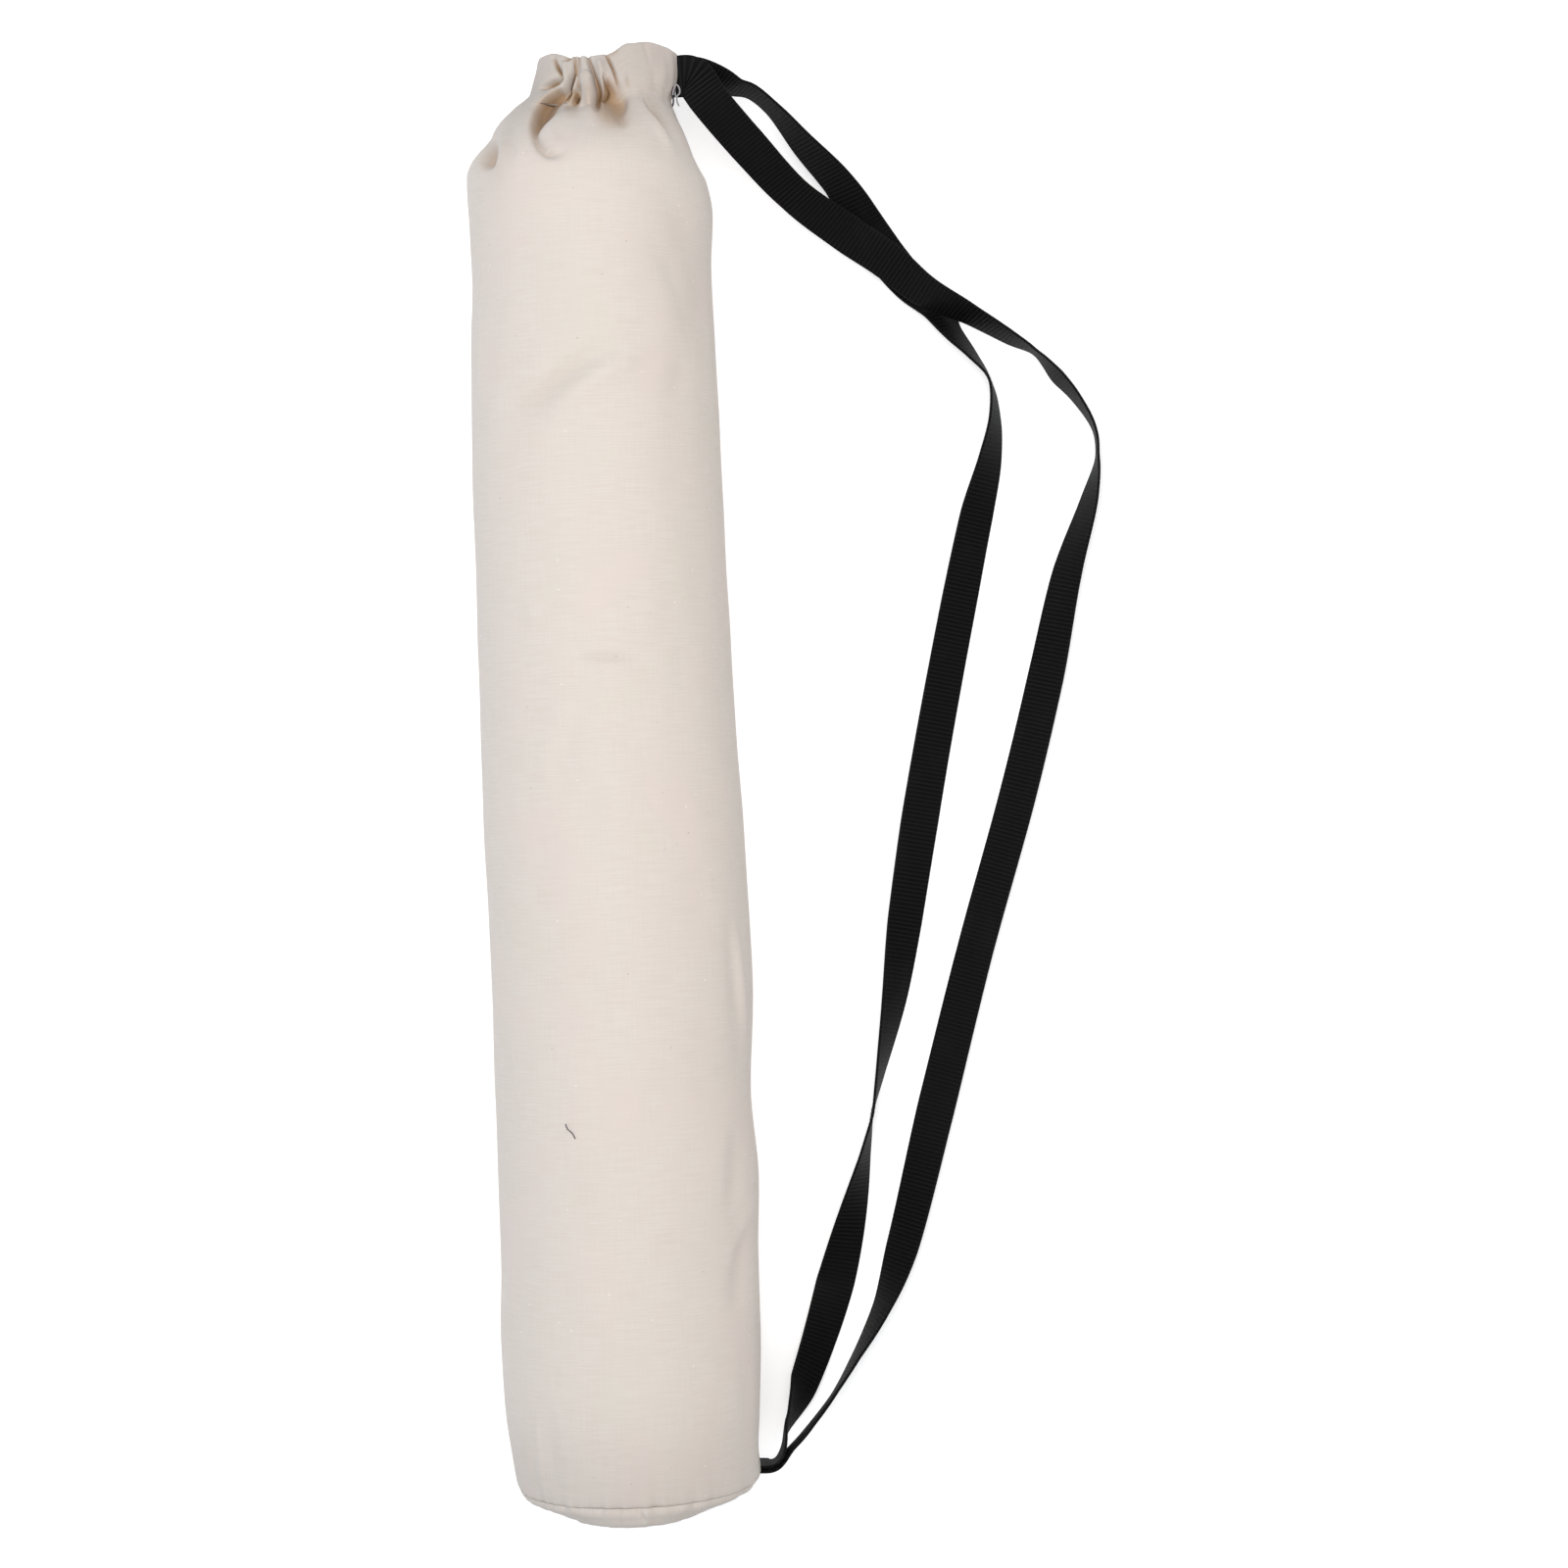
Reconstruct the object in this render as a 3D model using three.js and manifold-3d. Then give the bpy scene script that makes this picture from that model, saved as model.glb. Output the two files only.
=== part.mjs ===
// Yoga mat bag: a long cotton canvas tube with a gathered drawstring mouth and one webbing strap.
// It is filled out to the shape of a rolled mat and lies on its side. Millimetres, +Z up.
// The bag's axis runs along Y, with the mouth toward +Y, and the strap lies toward +X.
// The origin is on the surface that the bag rests on, under its axis, at the middle of its length.

import * as THREE from 'three';
import { mergeVertices } from 'three/addons/utils/BufferGeometryUtils.js';
import Module from 'manifold-3d';

// Driving dimensions of the canvas
const BARREL_LENGTH = 604;
const BARREL_RADIUS = 60;
const SETTLE = 2.5;
const SHOULDER_LENGTH = 34;
const BASE_DEPTH = 11;
const CANVAS = 1.2;
const FOLD_DEPTH = 6;
const CORNER_PULL = 3;

// Driving dimensions of the gathered mouth
const NECK_HALF_WIDTH = 35;
const NECK_HALF_HEIGHT = 28;
const NECK_HEIGHT = 51;
const NECK_SHIFT = 6.6;
const NECK_RISE = 6.5;
const PLEAT_DEPTH = 4.5;
const RIPPLE_DEPTH = 2.2;
const LIP = 1.8;

// Driving dimensions of the strap
const STRAP_WIDTH = 19;
const STRAP_THICKNESS = 1.5;
const STRAP_REACH = 190;
const ANCHOR_HEIGHT = 42;
const STRAP_TAIL = 3;
const STRAP_LEAD = 6;
const BEND_RADIUS = 3;
const EXIT_FLARE = 24;

// Clearances
const SEAM_GAP = 0.3;
const STRAP_CLEARANCE = 0.5;
const STACK_GAP = 1.0;
const LYING_GAP = 0.2;

// How late the gathers set in along the shoulder: the power of the share along it
const GATHER_ONSET = 1.5;

// Fineness of the faceted surfaces
const COLUMNS = 60;
const COLUMN_BIAS = 0.45;
const STRAP_STEP = 10;
const RUN_STEPS = 40;
const BEND_STEPS = 5;

// Places along the bag, worked out from the sizes
const CASING_DEPTH = SEAM_GAP + CANVAS + STRAP_WIDTH + 2 * STRAP_CLEARANCE + LIP;
const BAG_LENGTH = BASE_DEPTH + BARREL_LENGTH + SHOULDER_LENGTH + CASING_DEPTH + NECK_RISE;
const BASE_SEAM_Y = BASE_DEPTH - BAG_LENGTH / 2;
const SHOULDER_Y = BASE_SEAM_Y + BARREL_LENGTH;
const NECK_SEAM_Y = SHOULDER_Y + SHOULDER_LENGTH;
const BARREL_MIDDLE = BARREL_RADIUS - SETTLE;
const STACK = 2 * STRAP_THICKNESS + STACK_GAP;

const DEGREE = Math.PI / 180;

// Outline of the barrel from the base seam to the shoulder.
// along: share of the barrel's length; left, right, top, under: shares of its radius.
const BARREL_ROWS = [
  { along: 0.000, left: 0.920, right: 0.945, top: 0.950, under: 0.960 },
  { along: 0.025, left: 0.955, right: 0.955, top: 0.975, under: 1.000 },
  { along: 0.060, left: 0.992, right: 0.980, top: 0.995, under: 1.000 },
  { along: 0.115, left: 1.008, right: 1.002, top: 1.000, under: 1.000 },
  { along: 0.175, left: 0.987, right: 1.007, top: 1.000, under: 1.000 },
  { along: 0.235, left: 0.988, right: 1.028, top: 0.995, under: 1.000 },
  { along: 0.300, left: 0.982, right: 0.988, top: 0.990, under: 1.000 },
  { along: 0.385, left: 0.982, right: 1.028, top: 0.995, under: 1.000 },
  { along: 0.450, left: 0.990, right: 1.020, top: 1.000, under: 1.000 },
  { along: 0.510, left: 1.000, right: 1.010, top: 1.000, under: 1.000 },
  { along: 0.570, left: 1.003, right: 0.985, top: 1.000, under: 1.000 },
  { along: 0.630, left: 1.005, right: 0.962, top: 0.995, under: 1.000 },
  { along: 0.750, left: 1.007, right: 0.938, top: 0.985, under: 1.000 },
  { along: 0.870, left: 0.987, right: 0.923, top: 0.980, under: 1.000 },
  { along: 0.935, left: 0.952, right: 0.910, top: 0.975, under: 1.000 },
  { along: 0.975, left: 0.957, right: 0.933, top: 0.970, under: 0.985 },
  { along: 1.000, left: 0.965, right: 0.893, top: 0.940, under: 0.960 },
];

// Outline of the shoulder, where the canvas is drawn in over the end of the roll.
// along: share of its length; left, right, top, under: shares of the way from barrel to neck.
const SHOULDER_ROWS = [
  { along: 0.16, left: 0.00, right: 0.180, top: 0.05, under: 0.04 },
  { along: 0.32, left: 0.08, right: 0.355, top: 0.15, under: 0.12 },
  { along: 0.48, left: 0.25, right: 0.490, top: 0.31, under: 0.26 },
  { along: 0.64, left: 0.50, right: 0.645, top: 0.52, under: 0.46 },
  { along: 0.80, left: 0.65, right: 0.830, top: 0.74, under: 0.68 },
  { along: 1.00, left: 1.00, right: 1.000, top: 1.00, under: 1.00 },
];

// Outline of the casing's outer layer, from its seam to its lip.
// along: share of its depth; left, right: shares of the neck's half width;
// inward: share of the way from the gathered layer to the close fit round the webbing.
const CASING_ROWS = [
  { along: 0.00, left: 1.22, right: 0.90, inward: 0.0 },
  { along: 0.28, left: 1.02, right: 0.97, inward: 0.0 },
  { along: 0.60, left: 0.99, right: 1.00, inward: 0.1 },
  { along: 0.92, left: 0.93, right: 1.00, inward: 0.9 },
];

// Width of the casing's tunnel between its layers.
// along: share of the tunnel's depth; open: share of the room that the gathered layers leave.
const TUNNEL_ROWS = [
  { along: 0.0, open: 1.0 },
  { along: 0.5, open: 0.9 },
  { along: 1.0, open: 0.0 },
];

// Shape of the base panel from its seam to its middle, which is cut off more at its two sides.
// out: share of its depth; top, side: shares of the base seam's outline.
const BASE_ROWS = [
  { out: 0.00, top: 1.00, side: 1.000 },
  { out: 0.15, top: 1.00, side: 0.975 },
  { out: 0.42, top: 0.99, side: 0.860 },
  { out: 0.72, top: 0.96, side: 0.640 },
  { out: 0.90, top: 0.90, side: 0.460 },
  { out: 0.97, top: 0.78, side: 0.360 },
  { out: 1.00, top: 0.40, side: 0.200 },
];

// Gathers of the mouth that show from above.
// around: angle from +X toward +Z in degrees; wide: degrees; depth: share of the pleat depth.
const TOP_PLEATS = [
  { around: 33, wide: 9, depth: 0.20 },
  { around: 62, wide: 8, depth: 0.35 },
  { around: 83, wide: 5, depth: 0.95 },
  { around: 94, wide: 4, depth: 0.80 },
  { around: 109, wide: 5, depth: 1.00 },
  { around: 129, wide: 6, depth: 0.85 },
  { around: 158, wide: 8, depth: 0.55 },
];
const UNDER_PLEATS = { from: 195, to: 335, count: 6, wide: 8, depth: 0.70 };

// Lean of the mouth: how far each side of the neck stands out past its lowest point.
// around: degrees; rise: share of the neck's rise.
const RISE_ROWS = [
  { around: 0, rise: 0.90 },
  { around: 42, rise: 1.15 },
  { around: 62, rise: 0.92 },
  { around: 84, rise: 0.12 },
  { around: 94, rise: 0.03 },
  { around: 104, rise: 0.03 },
  { around: 120, rise: 0.23 },
  { around: 143, rise: 0.60 },
  { around: 180, rise: 0.62 },
  { around: 270, rise: 0.30 },
  { around: 320, rise: 0.60 },
];

// Dents and soft folds of the barrel.
// along: share of the barrel's length; around, slant: degrees;
// long, wide: shares of its radius; depth: share of the fold depth, negative for a ridge.
const BARREL_FOLDS = [
  { name: 'diagonal crease', along: 0.834, around: 108, slant: 55, long: 0.75, wide: 0.22, depth: 0.22 },
  { name: 'upper hollow', along: 0.838, around: 52, slant: 20, long: 0.45, wide: 0.28, depth: 0.18 },
  { name: 'upper right dent', along: 0.890, around: 31, slant: 8, long: 0.95, wide: 0.30, depth: 0.30 },
  { name: 'curved fold', along: 0.565, around: 114, slant: 20, long: 0.70, wide: 0.22, depth: 0.12 },
  { name: 'right crease', along: 0.385, around: 17, slant: 5, long: 0.90, wide: 0.16, depth: -0.16 },
  { name: 'lower right dent', along: 0.250, around: 30, slant: -12, long: 0.60, wide: 0.30, depth: 0.34 },
  { name: 'lower right hollow', along: 0.170, around: 27, slant: 10, long: 0.75, wide: 0.28, depth: 0.34 },
  { name: 'base right dent', along: 0.080, around: 15, slant: 0, long: 0.75, wide: 0.22, depth: 0.20 },
  { name: 'base left ridge', along: 0.035, around: 137, slant: 5, long: 0.55, wide: 0.14, depth: -0.18 },
];

// Folds of the shoulder, with along as a share of the shoulder's length.
const SHOULDER_FOLDS = [
  { name: 'long hooked valley', along: 0.70, around: 118, slant: -8, long: 0.34, wide: 0.15, depth: 1.00 },
  { name: 'foot of the valley', along: 0.18, around: 106, slant: 48, long: 0.25, wide: 0.14, depth: 0.50 },
  { name: 'left dimple', along: 0.20, around: 152, slant: -30, long: 0.30, wide: 0.20, depth: 0.55 },
  { name: 'hollow by the lobe', along: 0.78, around: 72, slant: 10, long: 0.24, wide: 0.20, depth: 0.75 },
  { name: 'right crease', along: 0.55, around: 50, slant: 30, long: 0.42, wide: 0.12, depth: 0.40 },
];

// Route of the strap from the mouth to the base, for its outer and its inner strand.
// along: share of the way from the exit to the anchor; out: share of the strap's reach beside it;
// roll: degrees from flat, with the edge toward the bag up where positive;
// lift: height above lying on the surface, as a share of the nearer end's height.
const OUTER_ROUTE = [
  { along: 0.019, out: 0.076, roll: -21, lift: 0.97 },
  { along: 0.049, out: 0.164, roll: -23, lift: 0.76 },
  { along: 0.082, out: 0.272, roll: -37, lift: 0.47 },
  { along: 0.109, out: 0.402, roll: -24, lift: 0.27 },
  { along: 0.129, out: 0.499, roll: -28, lift: 0.21 },
  { along: 0.152, out: 0.586, roll: -46, lift: 0.20 },
  { along: 0.170, out: 0.700, roll: -69, lift: 0.09 },
  { along: 0.187, out: 0.799, roll: -79, lift: 0.00 },
  { along: 0.198, out: 0.859, roll: -93, lift: 0.00 },
  { along: 0.216, out: 0.910, roll: -78, lift: 0.00 },
  { along: 0.232, out: 0.954, roll: -85, lift: 0.00 },
  { along: 0.256, out: 0.997, roll: -93, lift: 0.00 },
  { along: 0.276, out: 1.000, roll: -93, lift: 0.00 },
  { along: 0.306, out: 0.975, roll: -70, lift: 0.00 },
  { along: 0.361, out: 0.907, roll: -47, lift: 0.00 },
  { along: 0.436, out: 0.839, roll: -28, lift: 0.00 },
  { along: 0.523, out: 0.750, roll: -24, lift: 0.00 },
  { along: 0.637, out: 0.618, roll: -26, lift: 0.00 },
  { along: 0.752, out: 0.496, roll: -20, lift: 0.00 },
  { along: 0.856, out: 0.386, roll: -40, lift: 0.00 },
  { along: 0.895, out: 0.331, roll: -67, lift: 0.00 },
  { along: 0.930, out: 0.261, roll: -84, lift: 0.00 },
  { along: 0.958, out: 0.195, roll: -93, lift: 0.12 },
  { along: 0.981, out: 0.120, roll: -93, lift: 0.39 },
  { along: 0.994, out: 0.067, roll: -93, lift: 0.64 },
  { along: 1.000, out: 0.043, roll: -90, lift: 0.75 },
];
const INNER_ROUTE = [
  { along: 0.001, out: 0.072, roll: -30, lift: 0.74 },
  { along: 0.006, out: 0.140, roll: -90, lift: 0.50 },
  { along: 0.018, out: 0.228, roll: -82, lift: 0.40 },
  { along: 0.043, out: 0.299, roll: -62, lift: 0.33 },
  { along: 0.072, out: 0.390, roll: -46, lift: 0.15 },
  { along: 0.104, out: 0.458, roll: -10, lift: 0.04 },
  { along: 0.142, out: 0.551, roll: 14, lift: 0.00 },
  { along: 0.159, out: 0.609, roll: 28, lift: 0.00 },
  { along: 0.179, out: 0.648, roll: 55, lift: 0.00 },
  { along: 0.198, out: 0.698, roll: 71, lift: 0.00 },
  { along: 0.217, out: 0.739, roll: 85, lift: 0.00 },
  { along: 0.244, out: 0.747, roll: 72, lift: 0.00 },
  { along: 0.276, out: 0.728, roll: 52, lift: 0.00 },
  { along: 0.315, out: 0.688, roll: 32, lift: 0.00 },
  { along: 0.376, out: 0.633, roll: 23, lift: 0.00 },
  { along: 0.470, out: 0.553, roll: 19, lift: 0.00 },
  { along: 0.542, out: 0.496, roll: 15, lift: 0.00 },
  { along: 0.614, out: 0.444, roll: 27, lift: 0.00 },
  { along: 0.671, out: 0.405, roll: 50, lift: 0.00 },
  { along: 0.721, out: 0.362, roll: 75, lift: 0.00 },
  { along: 0.754, out: 0.333, roll: 90, lift: 0.00 },
  { along: 0.786, out: 0.306, roll: 73, lift: 0.00 },
  { along: 0.829, out: 0.266, roll: 43, lift: 0.00 },
  { along: 0.880, out: 0.213, roll: 10, lift: 0.00 },
  { along: 0.920, out: 0.164, roll: 27, lift: 0.00 },
  { along: 0.952, out: 0.116, roll: 39, lift: 0.13 },
  { along: 0.976, out: 0.071, roll: 80, lift: 0.40 },
  { along: 0.989, out: 0.057, roll: 90, lift: 0.65 },
  { along: 0.995, out: 0.046, roll: 90, lift: 0.74 },
];

// Small helpers
const mix = (a, b, share) => a + (b - a) * share;
const turnBetween = (a, b) => Math.atan2(Math.sin(a - b), Math.cos(a - b));
const bump = (distance, width) => Math.exp(-((distance / width) ** 2));

function columnAngle(column) {
  const even = (column / COLUMNS) * 2 * Math.PI;
  return even + COLUMN_BIAS * Math.cos(even);
}

function columnAngles() {
  return Array.from({ length: COLUMNS }, (_, column) => columnAngle(column));
}

// Gathers: share of its full depth that the cloth is drawn in at an angle round the neck
function pleatShare(angle) {
  let share = 0;
  for (const pleat of TOP_PLEATS) {
    share += pleat.depth * bump(turnBetween(angle, pleat.around * DEGREE), pleat.wide * DEGREE);
  }
  const spacing = (UNDER_PLEATS.to - UNDER_PLEATS.from) / (UNDER_PLEATS.count - 1);
  for (let pleat = 0; pleat < UNDER_PLEATS.count; pleat += 1) {
    const around = (UNDER_PLEATS.from + pleat * spacing) * DEGREE;
    share += UNDER_PLEATS.depth * bump(turnBetween(angle, around), UNDER_PLEATS.wide * DEGREE);
  }
  return Math.min(share, 1);
}

// Lean of the mouth at an angle round the neck, eased between the rows of its table
function neckRise(angle) {
  const degrees = ((angle / DEGREE) % 360 + 360) % 360;
  let row = RISE_ROWS.length - 1;
  while (RISE_ROWS[row].around > degrees) row -= 1;
  const next = RISE_ROWS[(row + 1) % RISE_ROWS.length];
  const span = (next.around - RISE_ROWS[row].around + 360) % 360;
  const share = (degrees - RISE_ROWS[row].around) / span;
  const eased = (1 - Math.cos(Math.PI * share)) / 2;
  return NECK_RISE * mix(RISE_ROWS[row].rise, next.rise, eased);
}

// Depth of a table of folds at one point of the cloth
function foldDepth(folds, length, start, y, angle) {
  let depth = 0;
  for (const fold of folds) {
    const along = y - (start + fold.along * length);
    const around = turnBetween(angle, fold.around * DEGREE) * BARREL_RADIUS;
    const slant = fold.slant * DEGREE;
    const lengthwise = along * Math.cos(slant) + around * Math.sin(slant);
    const across = around * Math.cos(slant) - along * Math.sin(slant);
    const spread = bump(lengthwise, fold.long * BARREL_RADIUS) * bump(across, fold.wide * BARREL_RADIUS);
    depth += fold.depth * spread;
  }
  return FOLD_DEPTH * depth;
}

// Cross-sections: the edges of the outline and the middle that angles are taken from
function barrelSection(row) {
  return {
    y: BASE_SEAM_Y + row.along * BARREL_LENGTH,
    middleX: 0,
    middleZ: BARREL_MIDDLE,
    left: row.left * BARREL_RADIUS,
    right: row.right * BARREL_RADIUS,
    top: row.top * BARREL_RADIUS,
    under: row.under * BARREL_RADIUS,
    drawn: 0,
  };
}

function neckSection(row) {
  return {
    y: NECK_SEAM_Y + row.along * CASING_DEPTH,
    middleX: NECK_SHIFT,
    middleZ: NECK_HEIGHT,
    left: row.left * NECK_HALF_WIDTH,
    right: row.right * NECK_HALF_WIDTH,
    top: NECK_HALF_HEIGHT,
    under: NECK_HALF_HEIGHT,
    drawn: 1,
  };
}

function shoulderSection(row) {
  const barrel = barrelSection(BARREL_ROWS[BARREL_ROWS.length - 1]);
  const neck = neckSection(CASING_ROWS[0]);
  const middleX = mix(barrel.middleX, neck.middleX, row.along);
  const middleZ = mix(barrel.middleZ, neck.middleZ, row.along);
  return {
    y: SHOULDER_Y + row.along * SHOULDER_LENGTH,
    middleX,
    middleZ,
    left: middleX - mix(barrel.middleX - barrel.left, neck.middleX - neck.left, row.left),
    right: mix(barrel.middleX + barrel.right, neck.middleX + neck.right, row.right) - middleX,
    top: mix(barrel.middleZ + barrel.top, neck.middleZ + neck.top, row.top) - middleZ,
    under: middleZ - mix(barrel.middleZ - barrel.under, neck.middleZ - neck.under, row.under),
    drawn: row.along ** GATHER_ONSET,
  };
}

// Offset of a section's outline from its middle at an angle, before any fold
function outlineOffset(section, angle) {
  const sine = Math.sin(angle);
  const cosine = Math.cos(angle);
  return {
    x: cosine * (cosine > 0 ? section.right : section.left),
    z: sine * (sine > 0 ? section.top : section.under),
  };
}

// One point of the canvas, a given depth below its outer face
function canvasPoint(section, angle, depth) {
  const offset = outlineOffset(section, angle);
  const reach = Math.hypot(offset.x, offset.z);
  const folds = foldDepth(BARREL_FOLDS, BARREL_LENGTH, BASE_SEAM_Y, section.y, angle)
    + foldDepth(SHOULDER_FOLDS, SHOULDER_LENGTH, SHOULDER_Y, section.y, angle);
  const corner = CORNER_PULL * bump(section.y - BASE_SEAM_Y, BASE_DEPTH)
    * bump(turnBetween(angle, anchorAngle()), STRAP_WIDTH / 2 / BARREL_RADIUS);
  const drawnIn = folds * (1 - section.drawn) + PLEAT_DEPTH * pleatShare(angle) * section.drawn - corner;
  const scale = (reach - drawnIn - depth) / reach;
  return new THREE.Vector3(
    section.middleX + offset.x * scale,
    section.y + neckRise(angle) * section.drawn,
    Math.max(section.middleZ + offset.z * scale, depth),
  );
}

function canvasRing(section, depth) {
  return columnAngles().map((angle) => canvasPoint(section, angle, depth));
}

// Angle round the barrel at which the strap's ends are sewn in
function anchorAngle() {
  return Math.asin((ANCHOR_HEIGHT - BARREL_MIDDLE) / BARREL_RADIUS);
}

// Closed solid through rings of equal count: a tunnel whose last ring joins the first,
// or a body with a fan over each end. Faces are turned to point out. Steps of a ring from
// crossedFrom on are split along their other diagonal, which keeps twisted webbing even.
function loft(rings, isTunnel, crossedFrom = Infinity) {
  const count = rings[0].length;
  const points = rings.flat();
  const faces = [];
  const links = isTunnel ? rings.length : rings.length - 1;
  for (let ring = 0; ring < links; ring += 1) {
    const here = ring * count;
    const there = ((ring + 1) % rings.length) * count;
    for (let step = 0; step < count; step += 1) {
      const next = (step + 1) % count;
      if (step < crossedFrom) {
        faces.push([here + step, here + next, there + next]);
        faces.push([here + step, there + next, there + step]);
      } else {
        faces.push([here + step, here + next, there + step]);
        faces.push([here + next, there + next, there + step]);
      }
    }
  }
  if (!isTunnel) {
    addFan(points, faces, 0, count, true);
    addFan(points, faces, (rings.length - 1) * count, count, false);
  }
  return closedGeometry(points, faces);
}

function addFan(points, faces, start, count, isFirst) {
  const middle = new THREE.Vector3();
  for (let step = 0; step < count; step += 1) middle.addScaledVector(points[start + step], 1 / count);
  const hub = points.push(middle) - 1;
  for (let step = 0; step < count; step += 1) {
    const a = start + step;
    const b = start + ((step + 1) % count);
    faces.push(isFirst ? [hub, b, a] : [hub, a, b]);
  }
}

function closedGeometry(points, faces) {
  let volume = 0;
  const normal = new THREE.Vector3();
  for (const [a, b, c] of faces) volume += points[a].dot(normal.crossVectors(points[b], points[c]));
  const turned = volume < 0 ? faces.map(([a, b, c]) => [a, c, b]) : faces;
  const geometry = new THREE.BufferGeometry();
  geometry.setAttribute('position', new THREE.Float32BufferAttribute(points.flatMap((p) => p.toArray()), 3));
  geometry.setIndex(turned.flat());
  return geometry;
}

// Solids for cutting
const wasm = await Module();
wasm.setup();

function toSolid(geometry) {
  const plain = geometry.clone();
  plain.deleteAttribute('normal');
  plain.deleteAttribute('uv');
  const merged = mergeVertices(plain);
  const vertProperties = new Float32Array(merged.attributes.position.array);
  const triVerts = new Uint32Array(merged.index.array);
  return new wasm.Manifold(new wasm.Mesh({ numProp: 3, vertProperties, triVerts }));
}

function toGeometry(solid) {
  const mesh = solid.getMesh();
  const geometry = new THREE.BufferGeometry();
  geometry.setAttribute('position', new THREE.BufferAttribute(mesh.vertProperties, 3));
  geometry.setIndex(new THREE.BufferAttribute(mesh.triVerts, 1));
  return geometry;
}

function boxAt(width, depth, height, x, y, z) {
  return new THREE.BoxGeometry(width, depth, height).translate(x, y, z);
}

// Where the strap leaves the casing and where its ends are sewn into the base seam
function strapExit() {
  return {
    x: NECK_SHIFT + NECK_HALF_WIDTH,
    y: NECK_SEAM_Y + SEAM_GAP + CANVAS + STRAP_CLEARANCE + STRAP_WIDTH / 2 + neckRise(0),
    z: NECK_HEIGHT,
  };
}

function strapAnchor() {
  const seam = canvasPoint(barrelSection(BARREL_ROWS[0]), anchorAngle(), 0);
  return {
    x: seam.x,
    y: BASE_SEAM_Y + STRAP_CLEARANCE + STACK / 2,
    z: ANCHOR_HEIGHT,
  };
}

// Canvas tube with its shoulder, open at both ends, with a slot in its base edge for the strap's ends
function bagBody() {
  const sections = BARREL_ROWS.map(barrelSection).concat(SHOULDER_ROWS.map(shoulderSection));
  const outer = sections.map((section) => canvasRing(section, 0));
  const inner = sections.map((section) => canvasRing(section, CANVAS)).reverse();
  const tube = toSolid(loft(outer.concat(inner), true));
  const anchor = strapAnchor();
  const slotDepth = STACK + 2 * STRAP_CLEARANCE;
  const slotHeight = STRAP_WIDTH + 2 * STRAP_CLEARANCE;
  const slotReach = 2 * (CORNER_PULL + CANVAS + STRAP_TAIL);
  const slot = boxAt(slotReach, 2 * slotDepth, slotHeight, anchor.x, BASE_SEAM_Y, anchor.z);
  return toGeometry(tube.subtract(toSolid(slot)));
}

// Round base panel, a shallow dish whose rim wraps up the side to the base seam
function basePanel() {
  const seam = barrelSection(BARREL_ROWS[0]);
  const dishRing = (row, depth) => {
    const seamRing = canvasRing({ ...seam, y: BASE_SEAM_Y }, depth);
    const out = SEAM_GAP + row.out * (BASE_DEPTH - SEAM_GAP - depth);
    return seamRing.map((point, column) => {
      const size = mix(row.top, row.side, Math.cos(columnAngle(column)) ** 2);
      return new THREE.Vector3(
        seam.middleX + (point.x - seam.middleX) * size,
        BASE_SEAM_Y - out,
        seam.middleZ + (point.z - seam.middleZ) * size,
      );
    });
  };
  const outer = BASE_ROWS.map((row) => dishRing(row, 0)).reverse();
  const inner = BASE_ROWS.map((row) => dishRing(row, CANVAS));
  return loft(outer.concat(inner), false);
}

// Rings of the casing, measured from the webbing that runs inside it.
// The webbing's middle line is an oval, and the two layers of cloth lie either side of it.
function webbingOval() {
  const inset = PLEAT_DEPTH + CANVAS + STRAP_CLEARANCE + STRAP_THICKNESS / 2;
  return { wide: NECK_HALF_WIDTH - inset, high: NECK_HALF_HEIGHT - inset };
}

function ovalPoint(angle, out) {
  const oval = webbingOval();
  return {
    x: NECK_SHIFT + Math.cos(angle) * (oval.wide + out),
    z: NECK_HEIGHT + Math.sin(angle) * (oval.high + out),
  };
}

// Share by which the casing keeps its full width toward the slot, so that the webbing can turn out
function exitFlare(angle) {
  return bump(turnBetween(angle, 0), EXIT_FLARE * DEGREE);
}

function casingPoint(x, z, fromSeam, angle) {
  return new THREE.Vector3(x, NECK_SEAM_Y + fromSeam + neckRise(angle), z);
}

// Outer layer of the casing at one row of its table, a given depth below its outer face
function outerLayerRing(row, depth) {
  const fit = STRAP_THICKNESS / 2 + STRAP_CLEARANCE + CANVAS;
  return columnAngles().map((angle) => {
    const gathered = canvasPoint(neckSection(row), angle, depth);
    const close = ovalPoint(angle, fit - depth);
    const fromSeam = Math.max(row.along * CASING_DEPTH, SEAM_GAP);
    const inward = row.inward * (1 - exitFlare(angle));
    return casingPoint(mix(gathered.x, close.x, inward), mix(gathered.z, close.z, inward), fromSeam, angle);
  });
}

// Inner layer of the casing: its face toward the mouth, rippled where the outer layer is drawn in
function innerLayerRing(along, inward, depth) {
  const fit = STRAP_THICKNESS / 2 + STRAP_CLEARANCE + CANVAS;
  return columnAngles().map((angle) => {
    const ripple = RIPPLE_DEPTH * pleatShare(angle) * (1 - inward);
    const face = ovalPoint(angle, depth - fit - ripple);
    return casingPoint(face.x, face.z, Math.max(along * CASING_DEPTH, SEAM_GAP), angle);
  });
}

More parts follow.
